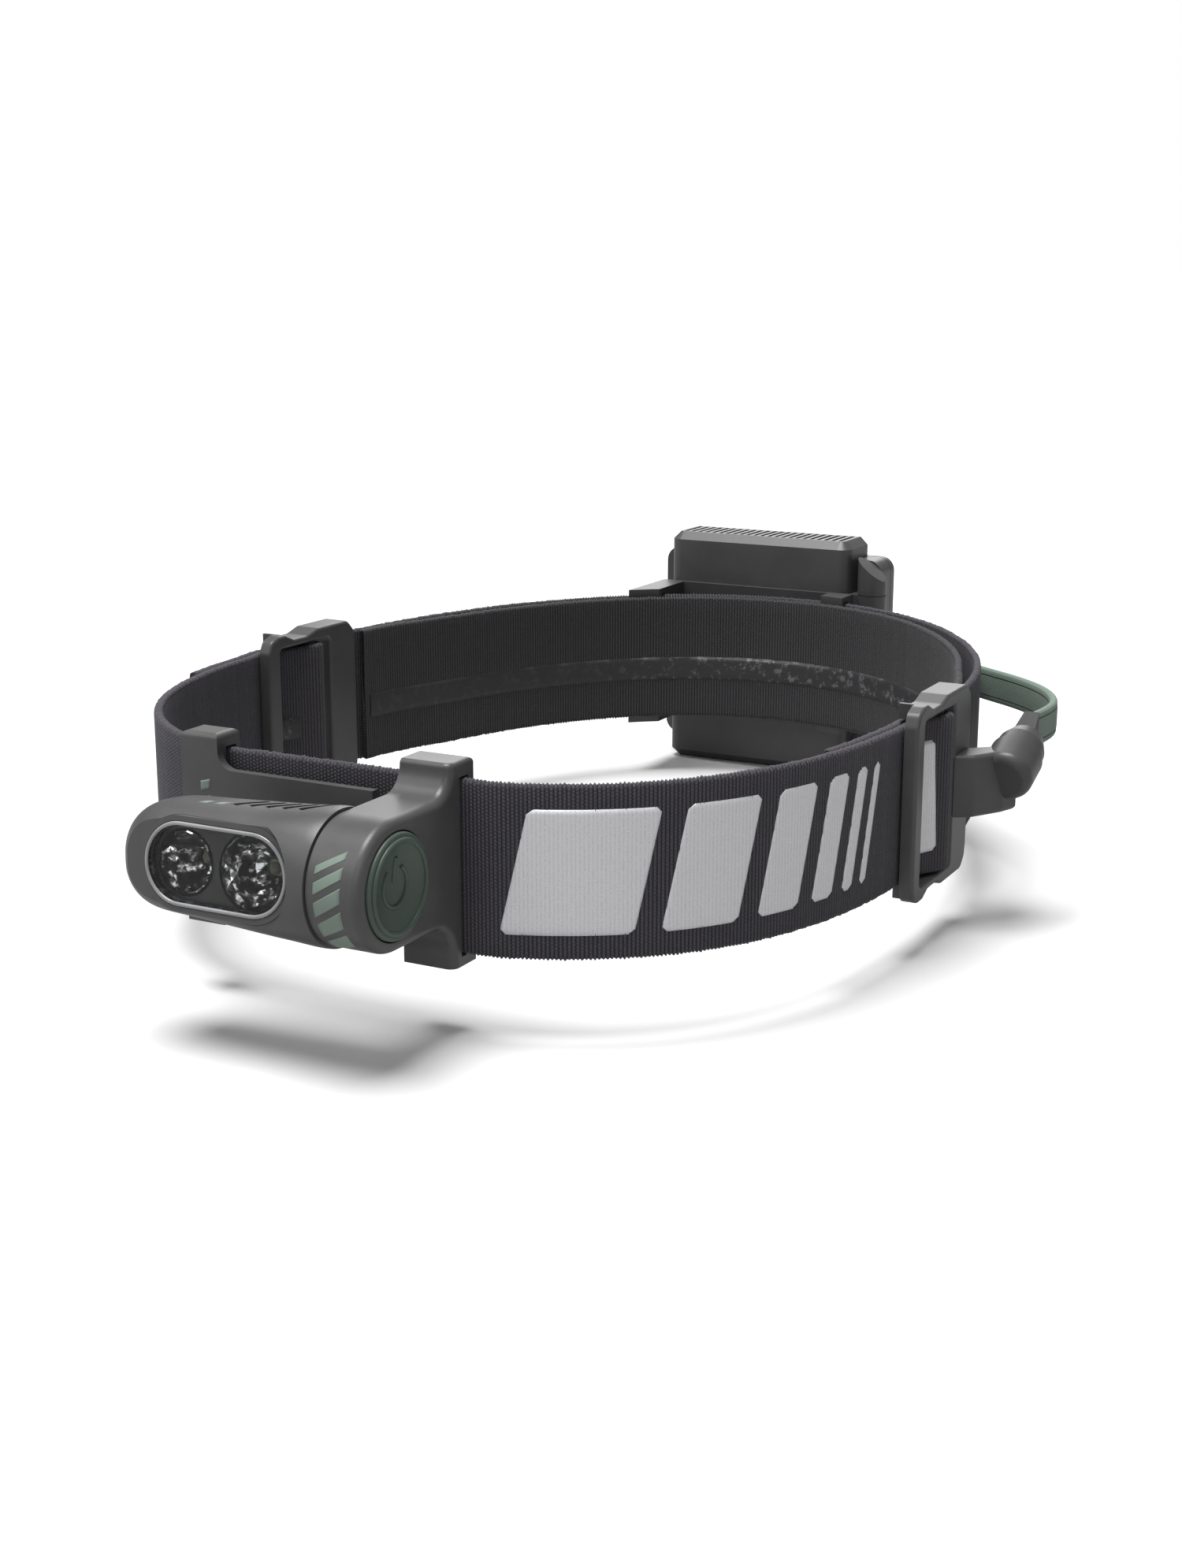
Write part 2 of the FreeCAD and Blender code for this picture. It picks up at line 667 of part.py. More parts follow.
def detent_wheel():
    wheel = ring(7.4, SHAFT_R + 0.02, 14.5, 15.9)
    for i in range(24):
        a = 2 * math.pi * i / 24
        wheel = wheel.cut(disc(0.45, 14, 17, AXIS_Y + 7.5 * math.cos(a), AXIS_Z + 7.5 * math.sin(a)))
    return wheel


def head_nodes():
    front, rear = head_halves()
    nodes = {
        "head_shell": front,
        "head_rear_cover": rear,
        "lens_bezel": stadium(LENS_R + BEZEL_W, 6.7, FACE + 0.1).cut(stadium(LENS_R + 0.05, 6, FACE + 1)),
        "lens": stadium(LENS_R, 7.4, FACE),
        "lens_gasket": stadium(LENS_R, 6.7, 7.35).cut(stadium(LENS_R - 0.8, 6, 8)),
        "reflector_trim": reflector_trim(),
        "spot_reflector": cup(SPOT_X, SPOT_R, 1.7, 6.2),
        "flood_reflector": cup(FLOOD_X, FLOOD_R, 1.7, 6.2),
        "spot_led": led(SPOT_X),
        "flood_led": led(FLOOD_X),
        "led_board": led_board(),
        "heat_sink": heat_sink(),
        "tilt_shaft": tilt_shaft(),
        "detent_wheel": detent_wheel(),
    }
    for shape in nodes.values():
        shape.rotate(V(0, AXIS_Y, AXIS_Z), X_AXIS, -REST_TILT)
    return nodes


# ---------------------------------------------------------------- battery pack
def strap_cradle():
    """Plate against the case with two deep bridges that hold the outer rear strap, which curves away."""
    y1 = CASE_Y0 - 0.05
    half_z = 16.7
    body = box(CASE_X - 25.5, CASE_X + 25.5, y1 - CRADLE_T, y1, -half_z, half_z)
    near = steps(LOOP_LENGTH / 2 - 60, LOOP_LENGTH / 2 + 60)
    inner_face = REAR_T + 0.4 + CRADLE_T
    zone = ribbon([inside(s, inner_face - 10) for s in near], 20, -half_z, half_z)
    strap_room = ribbon([inside(s, REAR_T / 2) for s in near], REAR_T + 0.7, -BAND_HALF - 0.4, BAND_HALF + 0.4)
    for side in (-1, 1):
        x = CASE_X + side * 22.5
        body = body.fuse(box(x - 3, x + 3, 70, y1 - 0.5, -half_z, half_z).common(zone))
    return body.cut(strap_room).removeSplitter()


def battery_case():
    x0 = CASE_X - CASE_HALF_X
    x1 = CASE_X + CASE_HALF_X
    shell = box(x0, x1, CASE_Y0, CASE_Y1, -CASE_HALF_Z, CASE_HALF_Z)
    shell = rounded(shell, 3.0, lambda e: runs_along(e, Z_AXIS) and e.BoundBox.YMax < CASE_Y0 + 0.1)
    ends = [e for e in shell.Edges
            if e.BoundBox.ZLength < 0.01 and abs(e.BoundBox.ZMax) > CASE_HALF_Z - 0.1
            and e.BoundBox.YMin < CASE_Y1 - 0.1]
    shell = shell.makeChamfer(1.9, ends)
    wing = box(WING_X0, WING_X1, WING_Y0, CASE_Y1, -WING_HALF_Z, WING_HALF_Z)
    wing = rounded(wing, 3.5, lambda e: runs_along(e, Y_AXIS))
    shell = shell.fuse(wing).removeSplitter()
    bay = box(x0 + CASE_WALL, x1 - CASE_WALL, CASE_Y0 + FACE_WALL, CASE_Y1 + 1, -BAY_HALF_Z, BAY_HALF_Z)
    shell = shell.cut(bay)
    return shell.cut(grip_grooves()).fuse(case_knuckles()).removeSplitter()


def grip_grooves():
    """Fine grooves across the top and bottom of the case, for the fingers."""
    grooves = []
    count = 23
    for i in range(count):
        x = CASE_X + 1.88 * (i - (count - 1) / 2)
        for z in (-CASE_HALF_Z, CASE_HALF_Z):
            grooves.append(box(x - 0.5, x + 0.5, CASE_Y0 + 2.3, CASE_Y1 - 1.2, z - 0.55, z + 0.55))
    return Part.makeCompound(grooves)


def case_knuckles():
    knuckles = []
    for z in (-17.0, 17.0):
        barrel = Part.makeCylinder(KNUCKLE_R, 8, V(HINGE_X, HINGE_Y, z - 4))
        root = box(HINGE_X - KNUCKLE_R, HINGE_X + KNUCKLE_R, CASE_Y1 - 0.5, HINGE_Y, z - 4, z + 4)
        knuckles.append(barrel.fuse(root))
    body = Part.makeCompound(knuckles)
    return body.cut(Part.makeCylinder(HINGE_PIN_R, 60, V(HINGE_X, HINGE_Y, -30)))


def battery_door():
    """Rear door: crowned plate with a hinge barrel along its left edge."""
    y0 = CASE_Y1 + 0.25
    plate = box(HINGE_X + 2.0, WING_X1, y0, DOOR_Y1, -WING_HALF_Z, WING_HALF_Z)
    plate = rounded(plate, 3.5, lambda e: runs_along(e, Y_AXIS) and e.BoundBox.XMin > 0)
    plate = rounded(plate, 1.5, lambda e: e.BoundBox.YMin > DOOR_Y1 - 0.01 and e.BoundBox.XMax > HINGE_X + 2.1)
    barrel = Part.makeCylinder(KNUCKLE_R, 25.4, V(HINGE_X, HINGE_Y, -12.7))
    arm = box(HINGE_X, HINGE_X + 3, y0 + 0.1, HINGE_Y + 1.0, -12.7, 12.7)
    bore = Part.makeCylinder(HINGE_PIN_R + 0.05, 60, V(HINGE_X, HINGE_Y, -30))
    ribs = [box(-25 + 5.0 * i, -23.8 + 5.0 * i, DOOR_Y1 - 0.7, DOOR_Y1 + 1, -14, 14) for i in range(8)]
    return plate.fuse([barrel, arm]).removeSplitter().cut(bore).cut(Part.makeCompound(ribs))


def door_seal():
    def frame_box(inset):
        half_x = CASE_HALF_X - CASE_WALL - inset
        half_z = BAY_HALF_Z - inset
        return box(CASE_X - half_x, CASE_X + half_x, CASE_Y1 - 1.0, CASE_Y1 + 0.1, -half_z, half_z)
    return frame_box(0.05).cut(frame_box(1.1))


def hinge_pin():
    return Part.makeCylinder(HINGE_PIN_R, 42, V(HINGE_X, HINGE_Y, -21))


def cell_y():
    return CASE_Y0 + FACE_WALL + CELL_R + 0.1


def cell_side(column):
    """Way the cell's raised end points: the middle cell lies the other way round."""
    return -1 if column == 1 else 1


def cell_x(column):
    return CASE_X + (column - 1) * CELL_PITCH


def cell(column):
    side = cell_side(column)
    tip_end = side * (BAY_HALF_Z - CONTACT_T - 0.1)
    can = Part.makeCylinder(CELL_R, CELL_L - 1.0, V(cell_x(column), cell_y(), tip_end - side * CELL_L), V(0, 0, side))
    can = rounded(can, 0.5, lambda e: e.BoundBox.ZLength < 0.01)
    tip = Part.makeCylinder(1.9, 1.2, V(cell_x(column), cell_y(), tip_end - side * 1.2), V(0, 0, side))
    return can.fuse(tip).removeSplitter()


def contact_plates():
    plates = []
    for column in range(3):
        x = cell_x(column)
        z0, z1 = sorted(cell_side(column) * (BAY_HALF_Z - k) for k in (0.05, CONTACT_T))
        plates.append(box(x - 4, x + 4, cell_y() - 4, cell_y() + 4, z0, z1))
    return Part.makeCompound(plates)


def contact_springs():
    """Conical springs as their outer shape, one at each cell's flat end."""
    springs = []
    for column in range(3):
        side = cell_side(column)
        wall = -side * (BAY_HALF_Z - 0.05)
        cell_end = side * (BAY_HALF_Z - CONTACT_T - 0.15 - CELL_L)
        springs.append(Part.makeCone(3.6, 1.6, abs(cell_end - wall), V(cell_x(column), cell_y(), wall), V(0, 0, side)))
    return Part.makeCompound(springs)


def cable_gland():
    """Upright round housing on the case's side, where the cable enters."""
    body = Part.makeCylinder(GLAND_R, GLAND_SEAM + 17.6, V(GLAND_X, GLAND_Y, -17.6))
    web = box(CASE_X + CASE_HALF_X + 0.02, GLAND_X, GLAND_Y - 1.6, GLAND_Y + 2.6, -17.6, GLAND_SEAM)
    return body.fuse(web).removeSplitter().cut(cable_room())


def gland_cap():
    cap = Part.makeCylinder(GLAND_R, 8.9, V(GLAND_X, GLAND_Y, GLAND_SEAM + 0.15))
    wedge = box(-10, 10, -10, 10, 0, 12)
    wedge.rotate(V(0, 0, 0), Y_AXIS, 38)
    wedge.translate(V(GLAND_X, GLAND_Y, GLAND_SEAM + 6.2))
    return cap.cut(wedge)


# ---------------------------------------------------------------- cable and plug
def route_edges(points, offset):
    """Side line of the cable: straight runs joined by tangent arcs, both moved sideways by the offset."""
    corners = []
    for i in range(1, len(points) - 1):
        corners.append(corner_arc(points[i - 1], points[i], points[i + 1]))
    edges = []
    last = points[0]
    for i, (start, middle, end, radius, centre) in enumerate(corners):
        edges.append(side_line(last, start, offset))
        edges.append(side_arc(start, middle, end, centre, points[i], points[i + 1], offset))
        last = end
    edges.append(side_line(last, points[-1], offset))
    return edges, [corner[3] for corner in corners]


def corner_arc(before, corner, after):
    run_in = math.dist(before, corner)
    run_out = math.dist(corner, after)
    ux = (corner[0] - before[0]) / run_in
    uy = (corner[1] - before[1]) / run_in
    wx = (after[0] - corner[0]) / run_out
    wy = (after[1] - corner[1]) / run_out
    turn = math.atan2(ux * wy - uy * wx, ux * wx + uy * wy)
    cut = 0.45 * min(run_in, run_out)
    radius = cut / math.tan(abs(turn) / 2)
    start = (corner[0] - ux * cut, corner[1] - uy * cut)
    end = (corner[0] + wx * cut, corner[1] + wy * cut)
    side = math.copysign(1, turn)
    centre = (start[0] - uy * side * radius, start[1] + ux * side * radius)
    to_corner = math.dist(centre, corner)
    middle = tuple(c + (k - c) * radius / to_corner for c, k in zip(centre, corner))
    return start, middle, end, radius, centre


def side_line(a, b, offset):
    length = math.dist(a, b)
    nx = -(b[1] - a[1]) / length * offset
    ny = (b[0] - a[0]) / length * offset
    return Part.makeLine(V(a[0] + nx, a[1] + ny, 0), V(b[0] + nx, b[1] + ny, 0))


def side_arc(start, middle, end, centre, before, corner, offset):
    turn_left = (corner[0] - before[0]) * (centre[1] - start[1]) - (corner[1] - before[1]) * (centre[0] - start[0])
    grow = -offset if turn_left > 0 else offset

    def moved(point):
        reach = math.dist(centre, point)
        return V(*(c + (p - c) * (reach + grow) / reach for c, p in zip(centre, point)), 0)
    return Part.Arc(moved(start), moved(middle), moved(end)).toShape()


def cable():
    left, radii = route_edges(CABLE_ROUTE, CABLE_T / 2)
    right, _ = route_edges(CABLE_ROUTE, -CABLE_T / 2)
    centre, _ = route_edges(CABLE_ROUTE, 0.0)
    caps = [
        Part.makeLine(left[0].firstVertex().Point, right[0].firstVertex().Point),
        Part.makeLine(left[-1].lastVertex().Point, right[-1].lastVertex().Point),
    ]
    wire = Part.Wire(Part.__sortEdges__(left + right + caps))
    body = Part.Face(wire).extrude(V(0, 0, 2 * CABLE_HALF))
    body.translate(V(0, 0, CABLE_Z - CABLE_HALF))
    length = sum(edge.Length for edge in centre)
    section = CABLE_T * 2 * CABLE_HALF
    print("cable length %.1f, bend radii %s" % (length, ", ".join("%.0f" % r for r in radii)))
    print("cable volume %.1f, section times length %.1f" % (body.Volume, section * length))
    return body


def along_plug(radius, start, end, dx=0.0):
    """Round piece on the plug's sloping line, between two distances from the arm."""
    piece = Part.makeCylinder(radius, end - start, V(PLUG_X + dx, PLUG_Y + start, PLUG_Z), Y_AXIS)
    piece.rotate(V(PLUG_X, PLUG_Y, PLUG_Z), X_AXIS, PLUG_TILT)
    return piece


def socket_arm():
    """Arm on the right buckle that carries the socket outside the band."""
    near = buckle_point(PLATE_T0 + 0.2, BUCKLE_OUT - 0.02)
    far = buckle_point(PLATE_T1 - 0.6, BUCKLE_OUT - 0.02)
    outline = [near, (PLUG_X - 4.2, PLUG_Y - 4.4), (PLUG_X - 0.4, PLUG_Y + 1.8), (PLUG_X + 1.0, PLUG_Y + 5.6),
               (PLUG_X - 3.5, PLUG_Y + 6.2), far]
    arm = plan_prism(outline, ARM_LOW, ARM_HIGH)
    arm = rounded(arm, 1.6, lambda e: runs_along(e, Z_AXIS) and PLUG_X - 5 < e.BoundBox.XMin < PLUG_X)
    arm = rounded(arm, 1.0, lambda e: e.BoundBox.ZLength < 0.01 and e.BoundBox.XMax > PLUG_X - 3)
    barrel = along_plug(SOCKET_R, 0.4, SOCKET_L)
    barrel = rounded(barrel, 1.8, lambda e: e.BoundBox.YMax < PLUG_Y + 3)
    return arm.fuse(barrel).removeSplitter().cut(along_plug(3.0, PLUG_NOSE_L - 0.5, SOCKET_L + 1))


def socket_contacts():
    pins = [along_plug(0.4, PLUG_NOSE_L - 0.45, SOCKET_L - 1.6, dx) for dx in (-1.3, 1.3)]
    return Part.makeCompound(pins)


def cable_plug():
    body = along_plug(PLUG_R, SOCKET_L + 0.1, PLUG_L - 3.2)
    taper = Part.makeCone(PLUG_R, PLUG_R - 1.1, 3.2, V(PLUG_X, PLUG_Y + PLUG_L - 3.2, PLUG_Z), Y_AXIS)
    taper.rotate(V(PLUG_X, PLUG_Y, PLUG_Z), X_AXIS, PLUG_TILT)
    nose = along_plug(2.95, PLUG_NOSE_L, SOCKET_L + 0.2)
    body = body.fuse([taper, nose]).removeSplitter()
    for dx in (-1.3, 1.3):
        body = body.cut(along_plug(0.45, PLUG_NOSE_L - 1, SOCKET_L - 1.2, dx))
    return body


def strain_relief():
    """Ribbed tip of the plug, turning from its slope to the level cable and narrowing to it."""
    def section(y, z, half_x, half_z, tilt):
        corners = [V(side * half_x, 0, level * half_z) for side, level in ((-1, -1), (1, -1), (1, 1), (-1, 1))]
        outline = Part.makePolygon(corners + corners[:1])
        outline.rotate(V(0, 0, 0), X_AXIS, tilt)
        outline.translate(V(PLUG_X, y, z))
        return outline
    slope = math.radians(PLUG_TILT)
    start_y = PLUG_Y + (PLUG_L + 0.03) * math.cos(slope)
    start_z = PLUG_Z + (PLUG_L + 0.03) * math.sin(slope)
    end_x, end_y = CABLE_ROUTE[0]
    first = section(start_y, start_z, 2.0, 2.9, PLUG_TILT)
    last = section(end_y - 0.35, CABLE_Z, 1.5, CABLE_HALF + 0.3, 0)
    last.translate(V(end_x - PLUG_X, 0, 0))
    return Part.makeLoft([first, last], True, True)


def all_nodes():
    nodes = {
        "front_strap": front_strap(),
        "lamp_lead": lamp_lead(),
        "rear_outer_strap": rear_outer_strap(),
        "rear_inner_strap": rear_inner_strap(),
        "silicone_grip": silicone_grip(),
        "front_grips": front_grips(),
        "right_buckle": buckle(),
        "left_buckle": buckle(True),
        "strap_pins": strap_pins(),
        "lamp_bracket": lamp_bracket(),
        "power_button": power_button(),
        "button_ring": button_ring(),
        "driver_board": driver_board(),
        "switch_dome": switch_dome(),
        "detent_spring": detent_spring(),
        "strap_cradle": strap_cradle(),
        "battery_case": battery_case(),
        "battery_door": battery_door(),
        "door_seal": door_seal(),
        "hinge_pin": hinge_pin(),
        "contact_plates": contact_plates(),
        "contact_springs": contact_springs(),
        "cable_gland": cable_gland(),
        "gland_cap": gland_cap(),
        "cable": cable(),
        "socket_arm": socket_arm(),
        "socket_contacts": socket_contacts(),
        "cable_plug": cable_plug(),
        "strain_relief": strain_relief(),
    }
    for column in range(3):
        nodes["cell_%d" % (column + 1)] = cell(column)
    nodes.update(head_nodes())
    return nodes


def main():
    os.makedirs("parts", exist_ok=True)
    whole = []
    for name, shape in all_nodes().items():
        shape.translate(ORIGIN_SHIFT)
        shape.exportStep("parts/%s.step" % name)
        if not shape.isValid() or shape.Volume <= 0:
            print("not a sound solid:", name)
        if name not in ("cable", "cable_plug", "strain_relief"):
            whole.append(shape)
    bounds = Part.makeCompound(whole).BoundBox
    print("box x %.2f %.2f  y %.2f %.2f  z %.2f %.2f" % (
        bounds.XMin, bounds.XMax, bounds.YMin, bounds.YMax, bounds.ZMin, bounds.ZMax))


main()
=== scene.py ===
"""Headlamp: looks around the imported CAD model. Lengths in the helpers are in millimetres."""

import json
import math

import bmesh
import bpy
import numpy as np
from mathutils import Matrix, Vector
from mathutils.bvhtree import BVHTree

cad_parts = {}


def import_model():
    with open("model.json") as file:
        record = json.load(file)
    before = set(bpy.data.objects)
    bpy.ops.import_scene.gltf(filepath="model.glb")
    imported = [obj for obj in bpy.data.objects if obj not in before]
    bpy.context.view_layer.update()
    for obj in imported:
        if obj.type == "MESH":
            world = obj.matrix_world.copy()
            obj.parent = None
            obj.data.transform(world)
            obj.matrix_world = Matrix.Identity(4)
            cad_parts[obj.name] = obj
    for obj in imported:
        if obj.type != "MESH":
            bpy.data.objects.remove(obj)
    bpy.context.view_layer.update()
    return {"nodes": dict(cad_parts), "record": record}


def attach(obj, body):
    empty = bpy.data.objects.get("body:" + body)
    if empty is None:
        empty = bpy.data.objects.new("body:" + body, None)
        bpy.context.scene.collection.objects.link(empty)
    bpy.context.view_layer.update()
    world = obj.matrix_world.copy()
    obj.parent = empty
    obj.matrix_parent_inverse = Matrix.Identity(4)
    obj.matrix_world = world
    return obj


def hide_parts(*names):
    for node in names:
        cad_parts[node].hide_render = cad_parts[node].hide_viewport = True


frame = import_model()
nodes = frame["nodes"]
rng = np.random.default_rng(7)

MM = 0.001
SHIFT = np.array([-6.77, 6.03, 29.0])

# ---- band line, straps and buckles, as in the CAD part ----
HALF_WIDTH = 73.0
WIDEST_Y = -15.0
FRONT_REACH = 84.5
REAR_REACH = 112.0
FRONT_POWER = 2.5
REAR_POWER = 2.1
FRONT_FLAT_Y = -96.5
BAND_HALF = 15.0
FRONT_T = 1.7
REAR_T = 1.5
STRAP_GAP = 0.25
GRIP_LOW = -5.5
GRIP_HIGH = 0.0
RIGHT_BUCKLE_S = 131.0
LEFT_BUCKLE_S = 134.0
PLATE_T0 = 6.4
PLATE_T1 = 16.0
BAR_T = 1.4
BAR_Q = -0.9
BAR_R = 1.3
RIB_PITCH = 0.7
RIB_DEPTH = 0.13
STITCH = 0.62

# ---- lamp ----
AXIS_Y = -116.0
AXIS_Z = 2.0
REST_TILT = 6.5
SPOT_X = -13.7
SPOT_R = 5.1
FLOOD_X = -0.3
FLOOD_R = 6.2
LENS_X = -6.6
LENS_RUN = 7.1
LED_HOLE_R = 1.75

# ---- cable ----
CABLE_Z = 6.5
CABLE_HALF = 3.5
CABLE_T = 1.8
CABLE_ROUTE = (
    (83.4, 18.4), (84.6, 26.6), (83.0, 35.8), (77.6, 45.2), (69.8, 52.6), (61.0, 58.6),
    (53.2, 64.6), (46.2, 70.9), (39.6, 77.0), (33.2, 82.8), (27.4, 89.0), (22.4, 95.4), (19.0, 102.2),
)


def world(points):
    """Band frame in millimetres to the row frame in metres."""
    return (np.asarray(points, float) + SHIFT) * MM


# ---------------------------------------------------------------- camera
camera_at = Vector(world((198.54, -382.92, 99.87)))
pitch = math.radians(14.324)
aim = Vector((-0.46947 * math.cos(pitch), 0.88295 * math.cos(pitch), -math.sin(pitch)))
camera_data = bpy.data.cameras.new("camera")
camera_data.lens = 48.84
camera_data.sensor_width = 36.0
camera = bpy.data.objects.new("camera", camera_data)
camera.location = camera_at
camera.rotation_euler = aim.to_track_quat("-Z", "Y").to_euler()
bpy.context.scene.collection.objects.link(camera)
bpy.context.scene.camera = camera


# ---------------------------------------------------------------- mesh helpers
def add_mesh(name, verts, faces, body, replaces=(), uvs=None, smooth=True, scale=MM):
    mesh = bpy.data.meshes.new(name)
    mesh.from_pydata([tuple(v) for v in verts], [], [tuple(f) for f in faces])
    mesh.validate()
    if uvs is not None:
        layer = mesh.uv_layers.new(name="cloth")
        loops = np.empty(len(mesh.loops), dtype=np.int32)
        mesh.loops.foreach_get("vertex_index", loops)
        layer.data.foreach_set("uv", np.asarray(uvs, np.float32)[loops].ravel())
    mesh.polygons.foreach_set("use_smooth", [smooth] * len(mesh.polygons))
    mesh.update()
    piece = bpy.data.objects.new(name, mesh)
    bpy.context.scene.collection.objects.link(piece)
    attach(piece, body)
    if replaces:
        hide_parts(*replaces)
    return piece


def grid_faces(rows, columns, closed_columns=False, closed_rows=False):
    faces = []
    for i in range(rows if closed_rows else rows - 1):
        for j in range(columns if closed_columns else columns - 1):
            a = i * columns + j
            b = i * columns + (j + 1) % columns
            c = ((i + 1) % rows) * columns + (j + 1) % columns
            d = ((i + 1) % rows) * columns + j
            faces.append((a, b, c, d))
    return faces


# ---------------------------------------------------------------- band line
def signed_power(value, power):
    return np.copysign(np.abs(value) ** power, value)


def loop_points(count=9000):
    angle = -math.pi / 2 + 2 * math.pi * np.arange(count + 1) / count
    c, s = np.cos(angle), np.sin(angle)
    power = np.where(s < 0, 2 / FRONT_POWER, 2 / REAR_POWER)
    reach = np.where(s < 0, FRONT_REACH, REAR_REACH)
    x = HALF_WIDTH * signed_power(c, power)
    y = np.maximum(WIDEST_Y + reach * signed_power(s, power), FRONT_FLAT_Y)
    return np.stack([x, y], 1)


LOOP = loop_points()
LOOP_S = np.concatenate([[0], np.cumsum(np.linalg.norm(np.diff(LOOP, axis=0), axis=1))])
LOOP_LENGTH = LOOP_S[-1]


def on_loop(s):
    s = np.asarray(s) % LOOP_LENGTH
    return np.stack([np.interp(s, LOOP_S, LOOP[:, 0]), np.interp(s, LOOP_S, LOOP[:, 1])], -1)


def loop_frame(s):
    chord = on_loop(s + 1.5) - on_loop(s - 1.5)
    tangent = chord / np.linalg.norm(chord)
    return on_loop(s), tangent, np.array([-tangent[1], tangent[0]])


def inside(s, depth):
    point, _, inward = loop_frame(s)
    return point + inward * depth


def buckle_at(left):
    return LEFT_BUCKLE_S if left else RIGHT_BUCKLE_S


def buckle_point(t, q, left=False):
    """Plan point in a buckle's own frame; the left buckle is the same part turned inside out."""
    point, tangent, inward = loop_frame(buckle_at(left))
    return point + tangent * t + inward * (FRONT_T - q if left else q)


def steps(start, stop, step=5.0):
    count = max(2, int(math.ceil(abs(stop - start) / step)))
    return [start + (stop - start) * i / count for i in range(count + 1)]


def mirrored(line):
    return [np.array([-x, y]) for x, y in line]


def smoothstep(value):
    value = min(max(value, 0.0), 1.0)
    return value * value * (3 - 2 * value)


def strap_half_line(left=False):
    at = buckle_at(left)
    deep = FRONT_T / 2
    layer = FRONT_T + STRAP_GAP
    tail = deep - layer if left else deep + layer
    at_post = 1.2 if left else 1.0
    line = [inside(s, deep) for s in steps(0, at - 19)]
    line += [buckle_point(t, q, left) for t, q in ((-13.0, at_post), (-8.4, 0.9), (-3.6, -0.9))]
    wrap = BAR_R + 0.15 + FRONT_T / 2
    for angle in range(-110, 101, 30):
        a = math.radians(angle)
        line.append(buckle_point(BAR_T + wrap * math.cos(a), BAR_Q + wrap * math.sin(a), left))
    turned_back = ((-3.2, 2.2), (-8.4, deep + layer), (-13.0, at_post + layer))
    line += [buckle_point(t, q, left) for t, q in turned_back]
    line += [inside(s, tail) for s in steps(at - 19, at - 37)]
    return line


def rear_span(past_plate):
    return RIGHT_BUCKLE_S + past_plate, LOOP_LENGTH - LEFT_BUCKLE_S - past_plate


def bow(s):
    return math.exp(-((s - RIGHT_BUCKLE_S - 50) / 28) ** 2)


def sleeve_gap(s):
    first, last = rear_span(PLATE_T1)
    return 0.1 + 2.3 * smoothstep((min(s - first, last - s) - 8) / 26)


def rear_outer_line():
    first, last = rear_span(PLATE_T1 + 7)
    inserted = (PLATE_T0 + 2.4, PLATE_T0 + 5.4, PLATE_T1 + 0.4)
    start = [buckle_point(t, 0.7) for t in inserted]
    end = mirrored([buckle_point(t, 0.7, True) for t in reversed(inserted)])
    return start + [inside(s, REAR_T / 2 - bow(s)) for s in steps(first, last)] + end


def smooth_line(points, spacing):
    """Centripetal Catmull-Rom curve through the points, sampled at an even spacing."""
    p = np.asarray(points, float)
    p = np.vstack([2 * p[0] - p[1], p, 2 * p[-1] - p[-2]])
    dense = []
    for i in range(1, len(p) - 2):
        p0, p1, p2, p3 = p[i - 1:i + 3]
        t0 = 0.0
        t1 = t0 + np.linalg.norm(p1 - p0) ** 0.5
        t2 = t1 + np.linalg.norm(p2 - p1) ** 0.5
        t3 = t2 + np.linalg.norm(p3 - p2) ** 0.5
        t = np.linspace(t1, t2, 41)[:-1, None]
        a1 = (t1 - t) / (t1 - t0) * p0 + (t - t0) / (t1 - t0) * p1
        a2 = (t2 - t) / (t2 - t1) * p1 + (t - t1) / (t2 - t1) * p2
        a3 = (t3 - t) / (t3 - t2) * p2 + (t - t2) / (t3 - t2) * p3
        b1 = (t2 - t) / (t2 - t0) * a1 + (t - t0) / (t2 - t0) * a2
        b2 = (t3 - t) / (t3 - t1) * a2 + (t - t1) / (t3 - t1) * a3
        dense.append((t2 - t) / (t2 - t1) * b1 + (t - t1) / (t2 - t1) * b2)
    dense = np.vstack(dense + [p[-2:-1]])
    return resampled(dense, spacing)


def resampled(dense, spacing):
    s = np.concatenate([[0], np.cumsum(np.linalg.norm(np.diff(dense, axis=0), axis=1))])
    count = max(2, int(round(s[-1] / spacing)) + 1)
    along = np.linspace(0, s[-1], count)
    line = np.stack([np.interp(along, s, dense[:, k]) for k in range(dense.shape[1])], 1)
    return line, along


def plan_normals(line):
    """Outward side of a plan line that runs anticlockwise."""
    tangent = np.gradient(line, axis=0)
    tangent /= np.linalg.norm(tangent, axis=1)[:, None]
    return np.stack([tangent[:, 1], -tangent[:, 0]], 1)


# ---------------------------------------------------------------- webbing
def strip_profile(thickness, half, edge, face_steps):
    """Closed cross-section of a strip: (offset outward, height, 1 on the faces, side of the edge)."""
    points = []
    for k in range(face_steps + 1):
        points.append((thickness / 2, -half + edge + (2 * half - 2 * edge) * k / face_steps, 1, 0))
    for a in (25, 60, 90, 120, 155):
        c = math.cos(math.radians(a))
        across = thickness / 2 * math.copysign(abs(c) ** 0.8, c)
        points.append((across, half - edge + edge * math.sin(math.radians(a)), 0, 1))
    for k in range(face_steps + 1):
        points.append((-thickness / 2, half - edge - (2 * half - 2 * edge) * k / face_steps, -1, 0))
    for a in (25, 60, 90, 120, 155):
        c = -math.cos(math.radians(a))
        across = thickness / 2 * math.copysign(abs(c) ** 0.8, c)
        points.append((across, -half + edge - edge * math.sin(math.radians(a)), 0, -1))
    return np.array(points)


